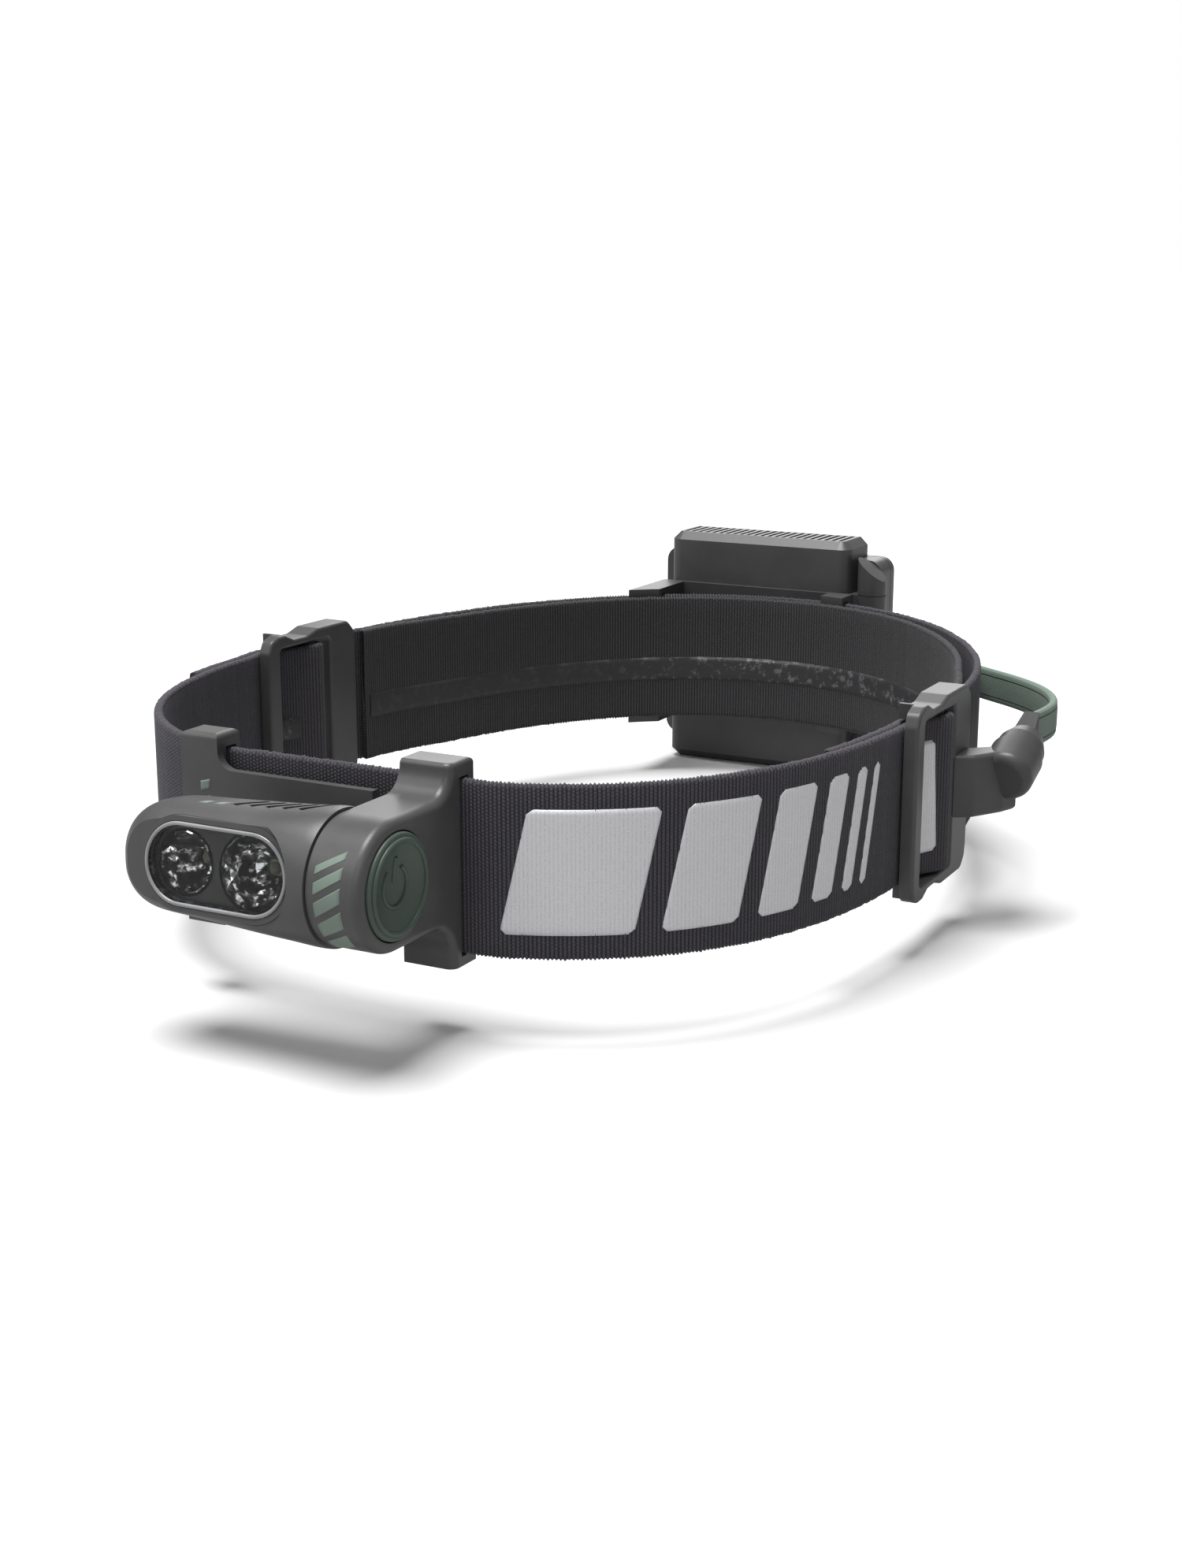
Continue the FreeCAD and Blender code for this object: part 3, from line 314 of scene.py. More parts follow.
def webbing(name, points, thickness, half, replaces, depth=RIB_DEPTH, centre_z=0.0):
    """Ribbed elastic: a rib across the strip at every pitch, with a rolled edge along both sides."""
    line, along = smooth_line(points, RIB_PITCH / 4)
    out = plan_normals(line)
    profile = strip_profile(thickness - depth, half - 0.06, 0.75, 10)
    rib = np.cos(2 * math.pi * along / RIB_PITCH)
    ribs = int(along[-1] / RIB_PITCH) + 2
    height = (1 + 0.25 * rng.standard_normal(ribs))[(along / RIB_PITCH + 0.5).astype(int)]
    jog = 0.035 * rng.standard_normal(ribs)[(along / RIB_PITCH + 0.5).astype(int)]
    wave = depth * rib * np.clip(height, 0.5, 1.5)
    verts = []
    uvs = []
    for i in range(len(line)):
        on_edge = np.sign(profile[:, 0]) * (profile[:, 3] != 0)
        offset = profile[:, 0] + profile[:, 2] * wave[i] / 2 + on_edge * wave[i] / 2
        z = profile[:, 1] + profile[:, 3] * (wave[i] * 1.2 + jog[i])
        xy = line[i] + out[i] * offset[:, None]
        verts.append(np.column_stack([xy, z + centre_z]))
        height_uv = profile[:, 1] + (profile[:, 2] < 0) * 100
        uvs.append(np.column_stack([np.full(len(profile), along[i]), height_uv]))
    count = len(profile)
    faces = grid_faces(len(line), count, closed_columns=True)
    faces.append(tuple(range(count)))
    faces.append(tuple(len(line) * count - 1 - k for k in range(count)))
    return add_mesh(name, world(np.vstack(verts)), faces, "band", replaces, np.vstack(uvs))


def laid_strip(name, points, replaces=(), thickness=0.45, waver=0.0, spacing=0.7):
    """Thin silicone strip glued on the inner side of a webbing line."""
    line, along = smooth_line(points, spacing)
    out = plan_normals(line)
    across = 7
    verts = []
    uvs = []
    drift = waver * np.convolve(rng.standard_normal(len(line) + 8), np.ones(9) / 3, "valid")
    for i in range(len(line)):
        for k in range(across):
            f = k / (across - 1)
            z = GRIP_LOW + (GRIP_HIGH - GRIP_LOW) * f + drift[i] * (1 if k == across - 1 else 0)
            crown = thickness * (1 - abs(2 * f - 1) ** 6)
            verts.append((*(line[i] + out[i] * -crown), z))
            uvs.append((along[i], z))
        for k in range(across):
            f = 1 - k / (across - 1)
            verts.append((*(line[i] + out[i] * 0.05), GRIP_LOW + (GRIP_HIGH - GRIP_LOW) * f))
            uvs.append((along[i], 50 + f))
    faces = grid_faces(len(line), 2 * across, closed_columns=True)
    return add_mesh(name, world(verts), faces, "band", replaces, uvs)


right_half = strap_half_line()
left_half = strap_half_line(True)
front_line = mirrored(reversed(left_half)) + right_half[1:]
inner_line = [inside(s, 1.5 * REAR_T + sleeve_gap(s) - bow(s)) for s in steps(*rear_span(PLATE_T1 + 4.5))]
front_strap = webbing("front_webbing", front_line, FRONT_T, BAND_HALF, ("front_strap",))
rear_outer = webbing("rear_outer_webbing", rear_outer_line(), REAR_T, BAND_HALF,
                     ("rear_outer_strap",))
rear_inner = webbing("rear_inner_webbing", inner_line, REAR_T, BAND_HALF,
                     ("rear_inner_strap",))

grip_line = [inside(s, 2 * REAR_T + sleeve_gap(s) - bow(s)) for s in steps(*rear_span(PLATE_T1 + 6))]
rear_grip = laid_strip("rear_grip_strip", grip_line, ("silicone_grip",), 0.2, 0.1)
right_grip_line = [inside(s, FRONT_T) for s in steps(34.0, RIGHT_BUCKLE_S - 40)]
left_grip_line = mirrored(reversed([inside(s, FRONT_T) for s in steps(34.0, LEFT_BUCKLE_S - 24)]))
right_grip = laid_strip("right_grip_strip", right_grip_line, ("front_grips",), waver=0.12)
left_grip = laid_strip("left_grip_strip", left_grip_line, ("front_grips",), waver=0.12)
fold_line = mirrored([buckle_point(t, q, True) for t, q in ((-3.6, -1.75), (-6.0, -0.75), (-8.4, 0.05))])
fold_grip = laid_strip("fold_grip_strip", fold_line, thickness=0.4)


# ---------------------------------------------------------------- reflective print
FRONT_DENSE, FRONT_ALONG = smooth_line(front_line, RIB_PITCH / 4)
FRONT_OUT = plan_normals(FRONT_DENSE)
FRONT_MIDDLE = FRONT_ALONG[np.argmin(np.abs(FRONT_DENSE[:, 0]) + 10 * (FRONT_DENSE[:, 1] > -90))]


def print_bar(name, left, right, low, high, slant, corner=1.0):
    """Slanted bar of print with round corners; left and right run along the strap from its middle."""
    rows = 26
    columns = max(8, int((right - left) / 0.35))
    grid = []
    for i in range(rows):
        f = i / (rows - 1)
        z = low + (high - low) * f
        near_end = min(z - low, high - z)
        cut = 0.0 if near_end > corner else corner - math.sqrt(max(corner ** 2 - (corner - near_end) ** 2, 0))
        for j in range(columns):
            s = left + cut + (right - left - 2 * cut) * j / (columns - 1) + slant * z
            grid.append((s, z))
    grid = np.array(grid)
    along = FRONT_MIDDLE + grid[:, 0]
    x = np.interp(along, FRONT_ALONG, FRONT_DENSE[:, 0])
    y = np.interp(along, FRONT_ALONG, FRONT_DENSE[:, 1])
    nx = np.interp(along, FRONT_ALONG, FRONT_OUT[:, 0])
    ny = np.interp(along, FRONT_ALONG, FRONT_OUT[:, 1])
    wave = RIB_DEPTH / 2 * 0.35 * np.cos(2 * math.pi * along / RIB_PITCH)
    index = np.arange(len(grid))
    at_side = (index % columns == 0) | (index % columns == columns - 1)
    border = at_side | (index < columns) | (index >= (rows - 1) * columns)
    top = FRONT_T / 2 + 0.1 + wave - 0.12 * border
    base = np.full(len(grid), FRONT_T / 2 - 0.1)
    verts = []
    for level in (top, base):
        verts.append(np.column_stack([x + nx * level, y + ny * level, grid[:, 1]]))
    n = len(grid)
    faces = grid_faces(rows, columns)
    faces += [tuple(n + k for k in reversed(face)) for face in faces]
    rim = [(0, j) for j in range(columns)] + [(i, columns - 1) for i in range(1, rows)]
    rim += [(rows - 1, j) for j in range(columns - 2, -1, -1)] + [(i, 0) for i in range(rows - 2, 0, -1)]
    rim = [i * columns + j for i, j in rim]
    for a, b in zip(rim, rim[1:] + rim[:1]):
        faces.append((b, a, a + n, b + n))
    uvs = np.column_stack([along, grid[:, 1]])
    return add_mesh(name, world(np.vstack(verts)), faces, "band", (), np.vstack([uvs, uvs]))


PRINT_BARS = ((31.0, 53.0), (57.5, 71.5), (75.5, 84.5), (88.0, 93.5), (96.5, 99.6), (102.2, 104.2))
PRINT_LOW = -10.6
PRINT_HIGH = 10.8
prints = [print_bar("reflective_bar_%d" % (i + 1), a, b, PRINT_LOW, PRINT_HIGH, 0.22)
          for i, (a, b) in enumerate(PRINT_BARS)]
window_print = print_bar("reflective_bar_window", 121.2, 128.2, PRINT_LOW, PRINT_HIGH, -0.06)


# ---------------------------------------------------------------- materials
class Shader:
    """Small helper around a material's node tree."""

    def __init__(self, name, color, rough, **sockets):
        self.material = bpy.data.materials.new(name)
        self.material.use_nodes = True
        self.tree = self.material.node_tree
        self.main = self.tree.nodes["Principled BSDF"]
        self.main.inputs["Base Color"].default_value = (*color, 1)
        self.main.inputs["Roughness"].default_value = rough
        for key, value in sockets.items():
            self.main.inputs[key.replace("_", " ")].default_value = value

    def node(self, kind, **settings):
        made = self.tree.nodes.new(kind)
        inputs = settings.pop("inputs", {})
        for key, value in settings.items():
            setattr(made, key, value)
        for key, value in inputs.items():
            if isinstance(value, bpy.types.NodeSocket):
                self.tree.links.new(value, made.inputs[key])
            else:
                made.inputs[key].default_value = value
        return made

    def math(self, operation, a, b=0.0, c=0.0):
        return self.node("ShaderNodeMath", operation=operation, inputs={0: a, 1: b, 2: c}).outputs[0]

    def position(self):
        return self.node("ShaderNodeTexCoord").outputs["Object"]

    def noise(self, scale, detail=3.0, vector=None, rough=0.5):
        inputs = {"Scale": scale, "Detail": detail, "Roughness": rough, "Vector": vector or self.position()}
        return self.node("ShaderNodeTexNoise", inputs=inputs).outputs["Fac"]

    def ramp(self, value, low, high):
        """0 below low, 1 above high."""
        inputs = {"Value": value, "From Min": low, "From Max": high}
        return self.node("ShaderNodeMapRange", inputs=inputs).outputs["Result"]

    def mix(self, factor, a, b):
        made = self.node("ShaderNodeMix", data_type="RGBA")
        for socket, value in ((made.inputs["Factor"], factor), (made.inputs[6], a), (made.inputs[7], b)):
            if isinstance(value, bpy.types.NodeSocket):
                self.tree.links.new(value, socket)
            else:
                socket.default_value = value if not isinstance(value, tuple) else (*value, 1)
        return made.outputs[2]

    def spread(self, value, low, high):
        inputs = {"Value": value, "To Min": low, "To Max": high}
        return self.node("ShaderNodeMapRange", inputs=inputs).outputs["Result"]

    def bump(self, height, distance, strength=1.0, normal=None):
        inputs = {"Height": height, "Distance": distance, "Strength": strength}
        if normal:
            inputs["Normal"] = normal
        return self.node("ShaderNodeBump", inputs=inputs).outputs["Normal"]

    def link(self, value, socket):
        self.tree.links.new(value, self.main.inputs[socket])


def moulded(name, color, rough, grain=0.000018, cloud=0.12, **sockets):
    """Moulded plastic: fine spark texture, soft clouding of colour and gloss."""
    shader = Shader(name, color, rough, **sockets)
    fine = shader.noise(5200.0, 2.0)
    broad = shader.noise(90.0, 4.0)
    dark = tuple(c * (1 - cloud) for c in color)
    light = tuple(min(1, c * (1 + cloud)) for c in color)
    shader.link(shader.mix(shader.ramp(broad, 0.3, 0.7), dark, light), "Base Color")
    cloudy = shader.spread(broad, rough - 0.06, rough + 0.06)
    worn = shader.math("ADD", cloudy, shader.math("MULTIPLY", fine, 0.05))
    shader.link(worn, "Roughness")
    shader.link(shader.bump(fine, grain), "Normal")
    return shader.material


def knitted(name, color, opening_shade_color):
    """Ribbed elastic: loops along every rib, with painted shade in the grooves and near-black painted shade
    in the openings between the ribs.
    """
    shader = Shader(name, color, 0.85, Sheen_Weight=0.12, Sheen_Roughness=0.4)
    uv = shader.node("ShaderNodeUVMap", uv_map="cloth").outputs["UV"]
    parts = shader.node("ShaderNodeSeparateXYZ", inputs={"Vector": uv})
    u, v = parts.outputs["X"], parts.outputs["Y"]
    turns = shader.math("DIVIDE", u, RIB_PITCH)
    row = shader.math("FLOOR", shader.math("ADD", turns, 0.5))
    shifted = shader.math("ADD", shader.math("DIVIDE", v, STITCH), shader.math("MULTIPLY", row, 0.5))
    stitch = shader.math("SINE", shader.math("MULTIPLY", shifted, 2 * math.pi))
    valley = shader.math("COSINE", shader.math("MULTIPLY", shader.math("ADD", turns, 0.5), 2 * math.pi))
    shaded_opening = shader.math("MULTIPLY", shader.ramp(valley, 0.0, 0.75), shader.ramp(stitch, -0.75, 0.2))
    shaded_groove = shader.math("MULTIPLY", shader.ramp(valley, -0.35, 0.9), 0.62)
    fibre = shader.noise(4200.0, 3.0)
    broad = shader.noise(120.0, 3.0)
    tone = tuple(c * 1.3 for c in color)
    base = shader.mix(shader.ramp(fibre, 0.35, 0.7), tuple(c * 0.75 for c in color), tone)
    base = shader.mix(shader.spread(broad, 0.0, 0.3), base, tuple(c * 0.7 for c in color))
    # painted shade: the grooves between the ribs are darkened to 0.3 of the colour
    base = shader.mix(shaded_groove, base, tuple(c * 0.3 for c in color))
    # painted shade: the openings between the ribs are painted near black
    shader.link(shader.mix(shaded_opening, base, opening_shade_color), "Base Color")
    height = shader.math("ADD", shader.math("MULTIPLY", stitch, 0.5), shader.math("MULTIPLY", fibre, 0.8))
    height = shader.math("SUBTRACT", height, shader.math("MULTIPLY", shaded_opening, 1.5))
    shader.link(shader.bump(height, 0.00007), "Normal")
    return shader.material


def printed():
    """Silver reflective film with the ribs showing through, as bumps and as painted shade in the rib valleys,
    and glass-bead grain.
    """
    shader = Shader("reflective_film", (0.44, 0.44, 0.46), 0.5, Metallic=0.2)
    uv = shader.node("ShaderNodeUVMap", uv_map="cloth").outputs["UV"]
    u = shader.node("ShaderNodeSeparateXYZ", inputs={"Vector": uv}).outputs["X"]
    rib = shader.math("COSINE", shader.math("MULTIPLY", u, 2 * math.pi / RIB_PITCH))
    grain = shader.noise(6000.0, 2.0)
    # painted shade: the film is darker in the rib valleys and lighter on the crests
    base = shader.mix(shader.ramp(rib, -1.0, 0.2), (0.66, 0.66, 0.68), (0.84, 0.84, 0.86))
    base = shader.mix(shader.ramp(grain, 0.35, 0.65), base, (0.92, 0.92, 0.94))
    shader.link(base, "Base Color")
    height = shader.math("ADD", shader.math("MULTIPLY", rib, 0.3), grain)
    shader.link(shader.bump(height, 0.00002), "Normal")
    return shader.material


def silicone():
    """Clear-dark silicone film, glossy where it is whole and dull where it has rubbed; the glossy flecks also
    carry a painted sheen.
    """
    shader = Shader("silicone_film", (0.04, 0.039, 0.042), 0.5)
    patches = shader.noise(420.0, 6.0, rough=0.75)
    speckle = shader.noise(1900.0, 3.0)
    uv = shader.node("ShaderNodeUVMap", uv_map="cloth").outputs["UV"]
    u = shader.node("ShaderNodeSeparateXYZ", inputs={"Vector": uv}).outputs["X"]
    sheen_reach = shader.math("SUBTRACT", 1.0, shader.ramp(u, 125.0, 165.0))
    sheen_flecks = shader.math("MULTIPLY", shader.ramp(patches, 0.54, 0.60), shader.math("ADD", sheen_reach, 0.12))
    # painted sheen: the glossy flecks are painted lighter, fewer past 125 mm along the strip
    shader.link(shader.mix(sheen_flecks, (0.040, 0.039, 0.042), (0.17, 0.168, 0.175)), "Base Color")
    shader.link(shader.spread(sheen_flecks, 0.55, 0.2), "Roughness")
    height = shader.math("ADD", patches, shader.math("MULTIPLY", speckle, 0.4))
    shader.link(shader.bump(height, 0.00012), "Normal")
    return shader.material


def textile():
    """Flat green woven jacket with a ridge near each edge and painted shade in the groove line beside it."""
    shader = Shader("cable_weave", (0.105, 0.175, 0.13), 0.8, Sheen_Weight=0.12, Sheen_Roughness=0.4)
    uv = shader.node("ShaderNodeUVMap", uv_map="cloth").outputs["UV"]
    parts = shader.node("ShaderNodeSeparateXYZ", inputs={"Vector": uv})
    u, v = parts.outputs["X"], parts.outputs["Y"]
    warp = shader.math("SINE", shader.math("MULTIPLY", shader.math("ADD", u, v), 2 * math.pi / 0.55))
    weft = shader.math("SINE", shader.math("MULTIPLY", shader.math("SUBTRACT", u, v), 2 * math.pi / 0.55))
    cross = shader.math("MULTIPLY", warp, weft)
    line = shader.math("ABSOLUTE", shader.math("SUBTRACT", shader.math("ABSOLUTE", v), 2.2))
    shaded_groove = shader.math("SUBTRACT", 1.0, shader.ramp(line, 0.08, 0.22))
    base = shader.mix(shader.ramp(cross, -0.4, 0.5), (0.17, 0.235, 0.19), (0.29, 0.39, 0.32))
    # painted shade: the groove line near each edge is painted dark green
    shader.link(shader.mix(shaded_groove, base, (0.04, 0.07, 0.05)), "Base Color")
    height = shader.math("SUBTRACT", cross, shader.math("MULTIPLY", shaded_groove, 2.0))
    shader.link(shader.bump(height, 0.00005), "Normal")
    return shader.material


def brushed(name, color, rough):
    shader = Shader(name, color, rough, Metallic=1.0)
    grain = shader.noise(3000.0, 3.0)
    shader.link(shader.spread(grain, rough - 0.08, rough + 0.12), "Roughness")
    shader.link(shader.bump(grain, 0.000006), "Normal")
    return shader.material


def mirror_with_painted_reflections():
    """Mirror coat with painted reflections: patches of its colour go from near black to white."""
    shader = Shader("mirror_coat", (0.4, 0.41, 0.42), 0.1, Metallic=1.0)
    reflection_patches = shader.ramp(shader.noise(620.0, 2.0), 0.46, 0.58)
    # painted reflections: a noise paints the coat near black or white; the white patches are also glossier
    shader.link(shader.mix(reflection_patches, (0.02, 0.02, 0.021), (1.0, 1.0, 1.0)), "Base Color")
    shader.link(shader.spread(reflection_patches, 0.16, 0.06), "Roughness")
    return shader.material


def clear_plastic():
    shader = Shader("clear_polycarbonate", (0.98, 0.985, 0.99), 0.02, IOR=1.28, Transmission_Weight=1.0)
    faint = shader.noise(900.0, 2.0)
    shader.link(shader.spread(faint, 0.012, 0.03), "Roughness")
    return shader.material


def solder_mask():
    shader = Shader("solder_mask", (0.03, 0.12, 0.05), 0.35)
    traces = shader.noise(1500.0, 1.0)
    base = shader.mix(shader.ramp(traces, 0.5, 0.52), (0.02, 0.10, 0.045), (0.045, 0.16, 0.07))
    shader.link(base, "Base Color")
    return shader.material


body_plastic = moulded("body_plastic", (0.098, 0.096, 0.098), 0.36)
frame_plastic = moulded("frame_plastic", (0.082, 0.081, 0.083), 0.36)
soft_plastic = moulded("soft_plastic", (0.034, 0.034, 0.035), 0.55)
jacket = moulded("lead_jacket", (0.03, 0.03, 0.03), 0.5)
button_rubber = moulded("button_rubber", (0.085, 0.118, 0.096), 0.4, 0.00003)
mark_paint = moulded("mark_paint", (0.24, 0.31, 0.26), 0.5, 0.00001, 0.05)
cell_jacket = moulded("cell_jacket", (0.2, 0.2, 0.22), 0.3)
led_lens = moulded("led_phosphor", (0.20, 0.19, 0.14), 0.25, 0.000004)
reflector_dark = moulded("reflector_dark", (0.02, 0.02, 0.021), 0.2, 0.000004)
webbing_outer = knitted("webbing_outer", (0.088, 0.081, 0.096), (0.005, 0.005, 0.006))
webbing_inner = knitted("webbing_inner", (0.072, 0.070, 0.075), (0.005, 0.005, 0.005))
film = printed()
grip_film = silicone()
cable_weave = textile()
steel = brushed("steel", (0.56, 0.56, 0.57), 0.32)
brass = brushed("brass", (0.7, 0.55, 0.28), 0.25)
aluminium = brushed("aluminium", (0.62, 0.62, 0.63), 0.35)
chrome = mirror_with_painted_reflections()
clear = clear_plastic()
mask = solder_mask()


def paint(piece, material):
    piece.data.materials.clear()
    piece.data.materials.append(material)


SLOT_MATERIALS = {
    "webbing": webbing_outer, "webbing_inner": webbing_inner, "silicone": grip_film, "lead_jacket": jacket,
    "frame_plastic": frame_plastic, "body_plastic": body_plastic, "soft_plastic": soft_plastic,
    "button_rubber": button_rubber, "cable_textile": cable_weave, "steel": steel, "contact_brass": brass,
    "sink_metal": aluminium, "circuit_board": mask, "cell_jacket": cell_jacket, "clear_lens": clear,
    "mirror_coat": chrome, "led_lens": led_lens,
}
for entry in frame["record"]["subparts"]:
    if entry["node"] in nodes:
        paint(nodes[entry["node"]], SLOT_MATERIALS[entry["material_slot"]])
paint(front_strap, webbing_outer)
paint(rear_outer, webbing_outer)
paint(rear_inner, webbing_inner)
for piece in (rear_grip, right_grip, left_grip, fold_grip):
    paint(piece, grip_film)
for piece in prints + [window_print]:
    paint(piece, film)


# ---------------------------------------------------------------- cable
curve = bpy.data.curves.new("cable_line", "CURVE")
curve.dimensions = "3D"
route = curve.splines.new("NURBS")
route.points.add(len(CABLE_ROUTE) - 1)
for point, (x, y) in zip(route.points, CABLE_ROUTE):
    point.co = (*world((x, y, CABLE_Z)), 1)
route.order_u = 3
route.use_endpoint_u = True
curve.resolution_u = 12
line_object = bpy.data.objects.new("cable_line", curve)
bpy.context.scene.collection.objects.link(line_object)
bpy.context.view_layer.update()
path_mesh = bpy.data.meshes.new_from_object(line_object.evaluated_get(bpy.context.evaluated_depsgraph_get()))
cable_path = np.array([tuple(v.co) for v in path_mesh.vertices])
bpy.data.objects.remove(line_object)
bpy.data.meshes.remove(path_mesh)


def flat_cable():
    line = cable_path[:, :2] / MM - SHIFT[:2]
    line, along = resampled(line, 0.5)
    out = plan_normals(line)
    half, thick = CABLE_HALF, CABLE_T / 2
    profile = []
    for k in range(24):
        a = 2 * math.pi * (k + 0.5) / 24
        c, s = math.cos(a), math.sin(a)
        profile.append((thick * math.copysign(abs(c) ** 0.55, c), half * math.copysign(abs(s) ** 0.35, s)))
    profile = np.array(profile)
    ridge = 1 - 0.16 * np.exp(-((np.abs(profile[:, 1]) - 2.2) / 0.35) ** 2)
    verts = []
    uvs = []
    for i in range(len(line)):
        xy = line[i] + out[i] * (profile[:, 0] * ridge)[:, None]
        verts.append(np.column_stack([xy, profile[:, 1] + CABLE_Z]))
        uvs.append(np.column_stack([np.full(len(profile), along[i]), profile[:, 1]]))
    faces = grid_faces(len(line), len(profile), closed_columns=True)
    faces.append(tuple(range(len(profile))))
    faces.append(tuple(len(line) * len(profile) - 1 - k for k in range(len(profile))))
    piece = add_mesh("flat_cable", world(np.vstack(verts)), faces, "band", ("cable",),
                     np.vstack(uvs))
    paint(piece, cable_weave)
    return piece


cable = flat_cable()


# ---------------------------------------------------------------- lamp head
def in_head(points):
    """Head frame (x, distance forward of the tilt axis, height above it) to the band frame."""
    points = np.asarray(points, float)
    tilt = math.radians(REST_TILT)
    y = AXIS_Y - points[:, 1] * math.cos(tilt) + points[:, 2] * math.sin(tilt)
    z = AXIS_Z + points[:, 1] * math.sin(tilt) + points[:, 2] * math.cos(tilt)
    return np.column_stack([points[:, 0], y, z])


def faceted_reflector(name, node, x, base, mouth, start, depth, facets, rows):
    """Deep mirror dish of flat facets, each turned a little its own way."""
    verts = []
    for i in range(rows + 1):
        k = i / rows
        radius = math.sqrt(base ** 2 + (mouth ** 2 - base ** 2) * k)
        for j in range(facets):
            a = 2 * math.pi * (j + 0.5 * (i % 2)) / facets
            verts.append((x + radius * math.cos(a), start + depth * k, radius * math.sin(a)))
    faces = []
    for i in range(rows):
        for j in range(facets):
            a = i * facets + j
            b = i * facets + (j + 1) % facets
            c = (i + 1) * facets + (j + (i % 2)) % facets
            d = (i + 1) * facets + (j + 1 + (i % 2)) % facets
            faces += [(a, b, c), (b, d, c)]
    verts = in_head(verts)
    piece = add_mesh(name, world(verts), faces, "lamp_head", (node,), smooth=False)
    solid = piece.modifiers.new("wall", "SOLIDIFY")
    solid.thickness = 0.25 * MM
    solid.offset = 0
    paint(piece, chrome)
    return piece


def lens_rim(name, radius, bead, forward):
    """Clear raised rim round the long lens, drawn opaque light grey as a painted highlight."""
    outline = []
    for k in range(25):
        a = math.radians(-90 + 180 * k / 24)
        outline.append((LENS_X + LENS_RUN + radius * math.cos(a), forward, radius * math.sin(a)))
    for k in range(25):
        a = math.radians(90 + 180 * k / 24)
        outline.append((LENS_X - LENS_RUN + radius * math.cos(a), forward, radius * math.sin(a)))
    outline = world(in_head(outline))
    verts = []
    for i, point in enumerate(outline):
        ahead = outline[(i + 1) % len(outline)] - outline[i - 1]
        ahead /= np.linalg.norm(ahead)
        normal = np.array([0, -math.cos(math.radians(REST_TILT)), math.sin(math.radians(REST_TILT))])
        across = np.cross(ahead, normal)
        for k in range(10):
            a = 2 * math.pi * k / 10
            verts.append(point + bead * MM * (normal * math.sin(a) * 0.7 + across * math.cos(a)))
    faces = grid_faces(len(outline), 10, closed_columns=True, closed_rows=True)
    piece = add_mesh(name, verts, faces, "lamp_head")
    paint(piece, rim_painted_highlight)
    return piece


# painted highlight: the clear rim is drawn as an opaque light grey plastic
rim_painted_highlight = moulded("clear_rim_painted_highlight", (0.33, 0.335, 0.345), 0.12, 0.000004, 0.25, Coat_Weight=0.6)
lens_rim("lens_rim", 6.6, 0.34, 8.72)
faceted_reflector("spot_dish", "spot_reflector", SPOT_X, LED_HOLE_R, SPOT_R, 0.55, 6.0, 14, 5)
faceted_reflector("flood_dish", "flood_reflector", FLOOD_X, LED_HOLE_R, FLOOD_R, 0.55, 6.1, 16, 5)
paint(nodes["reflector_trim"], reflector_dark)


# ---------------------------------------------------------------- marks laid on the plastic
def surface_of(node):
    mesh = bmesh.new()
    mesh.from_mesh(nodes[node].data)
    tree = BVHTree.FromBMesh(mesh)
    mesh.free()
    return tree


def laid_mark(name, tree, rows, body, material, lift=0.05):
    """Thin mark on a surface: a grid of rays (origin, direction) in the band frame."""
    top = []
    for ray_row in rows:
        for origin, direction in ray_row:
            way = Vector(direction).normalized()
            hit, normal, _, _ = tree.ray_cast(Vector(world(origin)), way)
            if hit is None:
                raise RuntimeError("no surface under " + name)
            normal = normal if normal.dot(way) < 0 else -normal
            top.append((hit + normal * lift * MM, hit - normal * 0.05 * MM))
    columns = len(rows[0])
    n = len(top)
    faces = grid_faces(len(rows), columns)
    back = [tuple(n + k for k in reversed(face)) for face in faces]
    rim = [j for j in range(columns)] + [i * columns + columns - 1 for i in range(1, len(rows))]
    rim += [n - 1 - j for j in range(1, columns)] + [i * columns for i in range(len(rows) - 2, 0, -1)]
    sides = [(b, a, a + n, b + n) for a, b in zip(rim, rim[1:] + rim[:1])]
    verts = [p[0] for p in top] + [p[1] for p in top]
    piece = add_mesh(name, verts, faces + back + sides, body)
    paint(piece, material)
    return piece


bracket_surface = surface_of("lamp_bracket")
head_surface = surface_of("head_shell")
button_surface = surface_of("power_button")


def hub_bar(name, angle0, angle1, x0, x1, slant):
    """Slanted bar round the hub; angles from straight ahead, upwards."""
    rows = []
    for i in range(14):
        angle = math.radians(angle0 + (angle1 - angle0) * i / 13)
        row = []
        for j in range(8):
            x = x0 + (x1 - x0) * j / 7
            a = angle + math.radians(slant) * (j / 7 - 0.5)
            way = (0, -math.cos(a), math.sin(a))
            row.append(((x, AXIS_Y + 30 * way[1], AXIS_Z + 30 * way[2]), (0, -way[1], -way[2])))
        rows.append(row)
    return laid_mark(name, bracket_surface, rows, "band", mark_paint)


for i, (low, high) in enumerate(((-58, -40), (-33, -17), (-10, 3), (10, 20), (27, 34))):
    hub_bar("hub_bar_%d" % (i + 1), low, high, 13.9, 18.9, 16)

for i in range(3):
    x0 = -14.0 + 3.2 * i
    rows = [[((x0 + 1.6 * j / 4 + 0.7 * k / 4, AXIS_Y - 2.6 + 1.5 * k / 4, 40), (0, 0, -1)) for j in range(5)]
            for k in range(5)]
    laid_mark("head_dash_%d" % (i + 1), head_surface, rows, "lamp_head", mark_paint, 0.03)

for i in range(4):
    z0 = -1.0 + 2.9 * i
    rows = [[((-28.6 + 2.0 * j / 4, -150, z0 + 1.7 * k / 4 + 0.5 * j / 4), (0, 1, 0)) for j in range(5)]
            for k in range(5)]
    laid_mark("ear_dash_%d" % (i + 1), bracket_surface, rows, "band", mark_paint, 0.03)


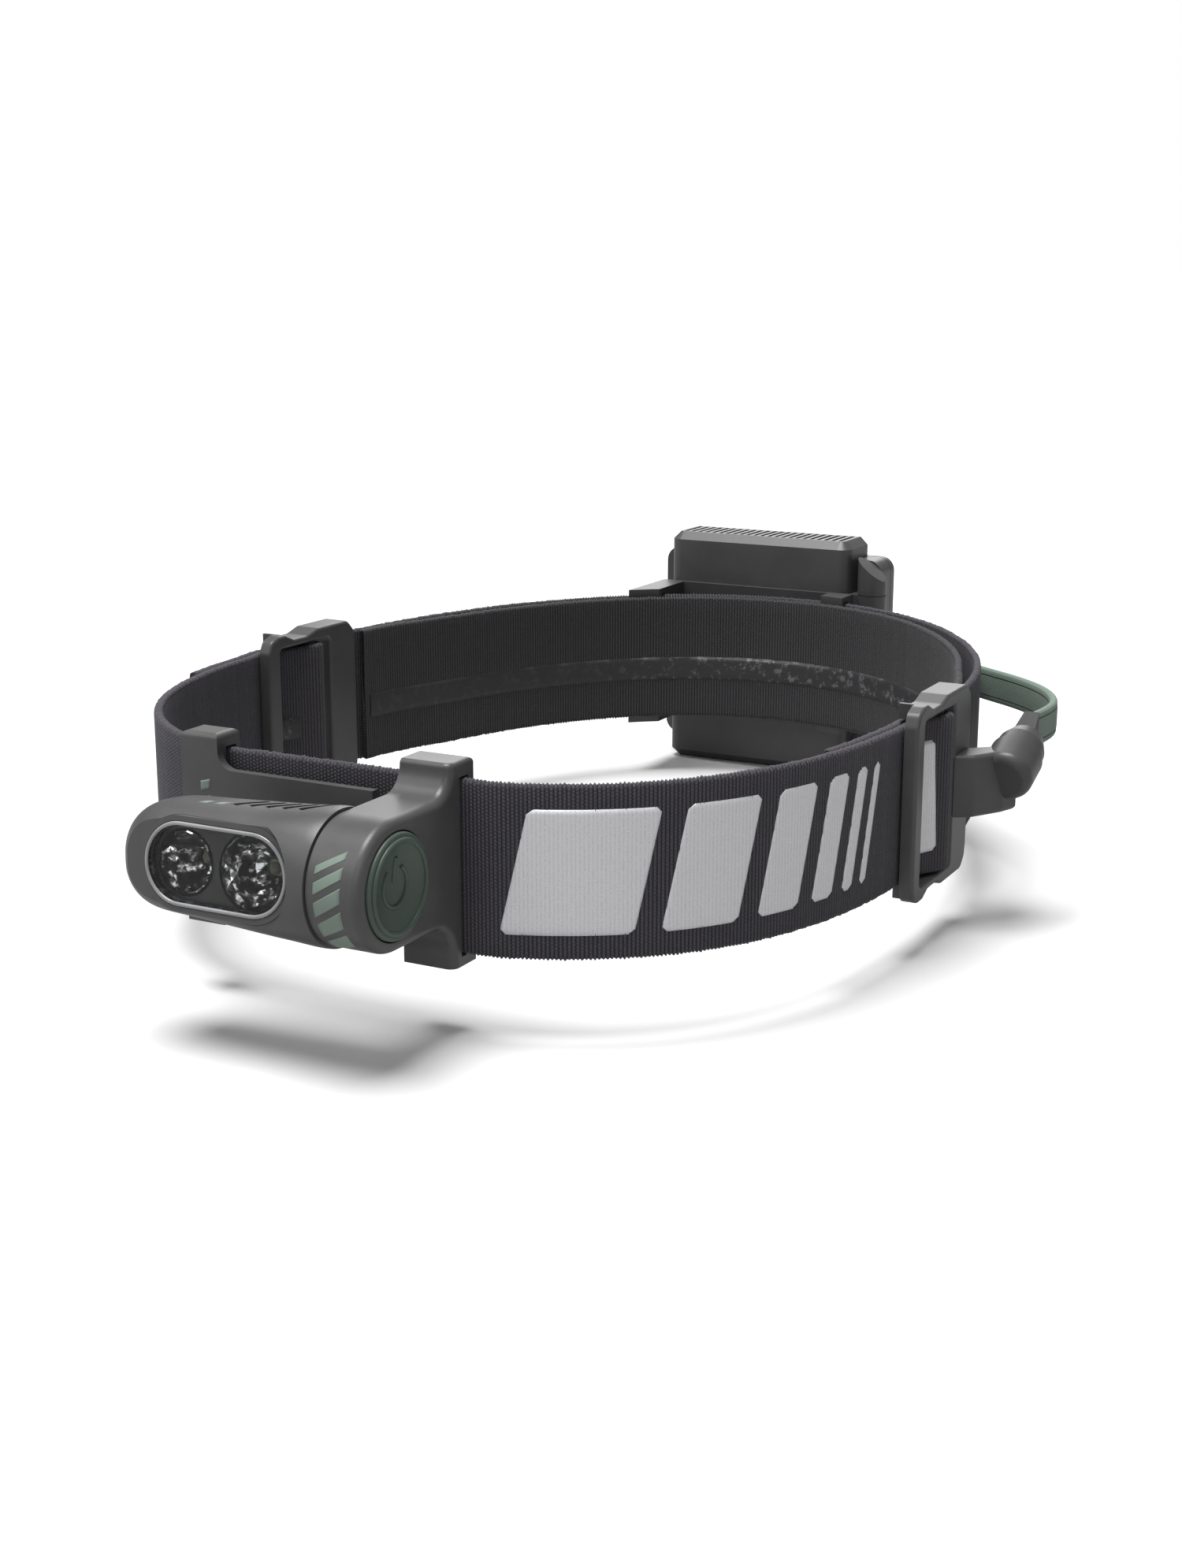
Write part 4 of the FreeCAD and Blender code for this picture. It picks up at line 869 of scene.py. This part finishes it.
def raised_line(name, points, radius, body, material):
    """Half-sunk round bead along points that already lie on a surface."""
    bead = bpy.data.curves.new(name, "CURVE")
    bead.dimensions = "3D"
    bead.bevel_depth = radius * MM
    bead.bevel_resolution = 3
    bead.use_fill_caps = True
    spline = bead.splines.new("POLY")
    spline.points.add(len(points) - 1)
    for point, co in zip(spline.points, points):
        point.co = (*co, 1)
    piece = bpy.data.objects.new(name, bead)
    bpy.context.scene.collection.objects.link(piece)
    bpy.context.view_layer.update()
    mesh = bpy.data.meshes.new_from_object(piece.evaluated_get(bpy.context.evaluated_depsgraph_get()))
    bpy.data.objects.remove(piece)
    solid = bpy.data.objects.new(name, mesh)
    bpy.context.scene.collection.objects.link(solid)
    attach(solid, body)
    mesh.materials.clear()
    mesh.materials.append(material)
    mesh.polygons.foreach_set("use_smooth", [True] * len(mesh.polygons))
    return solid


def on_button(r, angle):
    y = AXIS_Y + r * math.sin(angle)
    z = AXIS_Z + r * math.cos(angle)
    hit, _, _, _ = button_surface.ray_cast(Vector(world((60, y, z))), Vector((-1, 0, 0)))
    return hit


# painted highlight: the symbol is the button's green made a little lighter, for the light on its raised edges
symbol_rubber_highlight = moulded("symbol_rubber_highlight", (0.085, 0.125, 0.10), 0.4, 0.00001)
symbol_arc = [on_button(3.4, math.radians(a)) for a in range(34, 328, 6)]
raised_line("power_arc", symbol_arc, 0.36, "power_button", symbol_rubber_highlight)
symbol_bar = [on_button(r, 0.0) for r in (0.6, 1.6, 2.6, 3.6, 4.8)]
raised_line("power_bar", symbol_bar, 0.36, "power_button", symbol_rubber_highlight)
button_lip = [on_button(7.5, math.radians(a)) for a in range(0, 361, 5)]
raised_line("button_lip", button_lip, 0.45, "power_button", button_rubber)


# ---------------------------------------------------------------- floor, light
floor_shader = Shader("floor", (0.9, 0.9, 0.9), 0.9)
seen_by_camera = floor_shader.node("ShaderNodeLightPath").outputs["Is Camera Ray"]
floor_shader.link(floor_shader.mix(seen_by_camera, (0.42, 0.42, 0.42), (0.9, 0.9, 0.9)), "Base Color")
floor_material = floor_shader.material
bpy.ops.mesh.primitive_plane_add(size=12, location=(0, 0, -0.0002))
floor = bpy.context.object
floor.name = "floor"
paint(floor, floor_material)


def area_light(name, at, size, power, target=(0, 0, 0.03)):
    light = bpy.data.lights.new(name, "AREA")
    light.size = size
    light.energy = power
    lamp = bpy.data.objects.new(name, light)
    lamp.location = at
    lamp.rotation_euler = (Vector(target) - Vector(at)).to_track_quat("-Z", "Y").to_euler()
    bpy.context.scene.collection.objects.link(lamp)


area_light("key", (-0.45, -0.55, 0.55), 0.35, 0.9)
area_light("front", (0.30, -0.60, 0.40), 0.30, 0.4)
area_light("back", (-0.30, 0.75, 0.42), 0.55, 2.6)
sun = bpy.data.lights.new("overhead", "SUN")
sun.energy = 3.75
sun.angle = math.radians(34)
overhead = bpy.data.objects.new("overhead", sun)
overhead.rotation_euler = Vector((0.12, 0.10, -1.0)).to_track_quat("-Z", "Y").to_euler()
bpy.context.scene.collection.objects.link(overhead)

sky = bpy.data.worlds.new("studio")
sky.use_nodes = True
tree = sky.node_tree
background = tree.nodes["Background"]
background.inputs["Color"].default_value = (1, 1, 1, 1)
paths = tree.nodes.new("ShaderNodeLightPath")
dim = tree.nodes.new("ShaderNodeMix")
dim.data_type = "FLOAT"
dim.inputs[2].default_value = 0.08
dim.inputs[3].default_value = 0.16
tree.links.new(paths.outputs["Is Glossy Ray"], dim.inputs[0])
seen = tree.nodes.new("ShaderNodeMix")
seen.data_type = "FLOAT"
seen.inputs[3].default_value = 1.0
tree.links.new(paths.outputs["Is Camera Ray"], seen.inputs[0])
tree.links.new(dim.outputs[0], seen.inputs[2])
tree.links.new(seen.outputs[0], background.inputs["Strength"])
bpy.context.scene.world = sky
bpy.context.scene.view_settings.view_transform = "Standard"
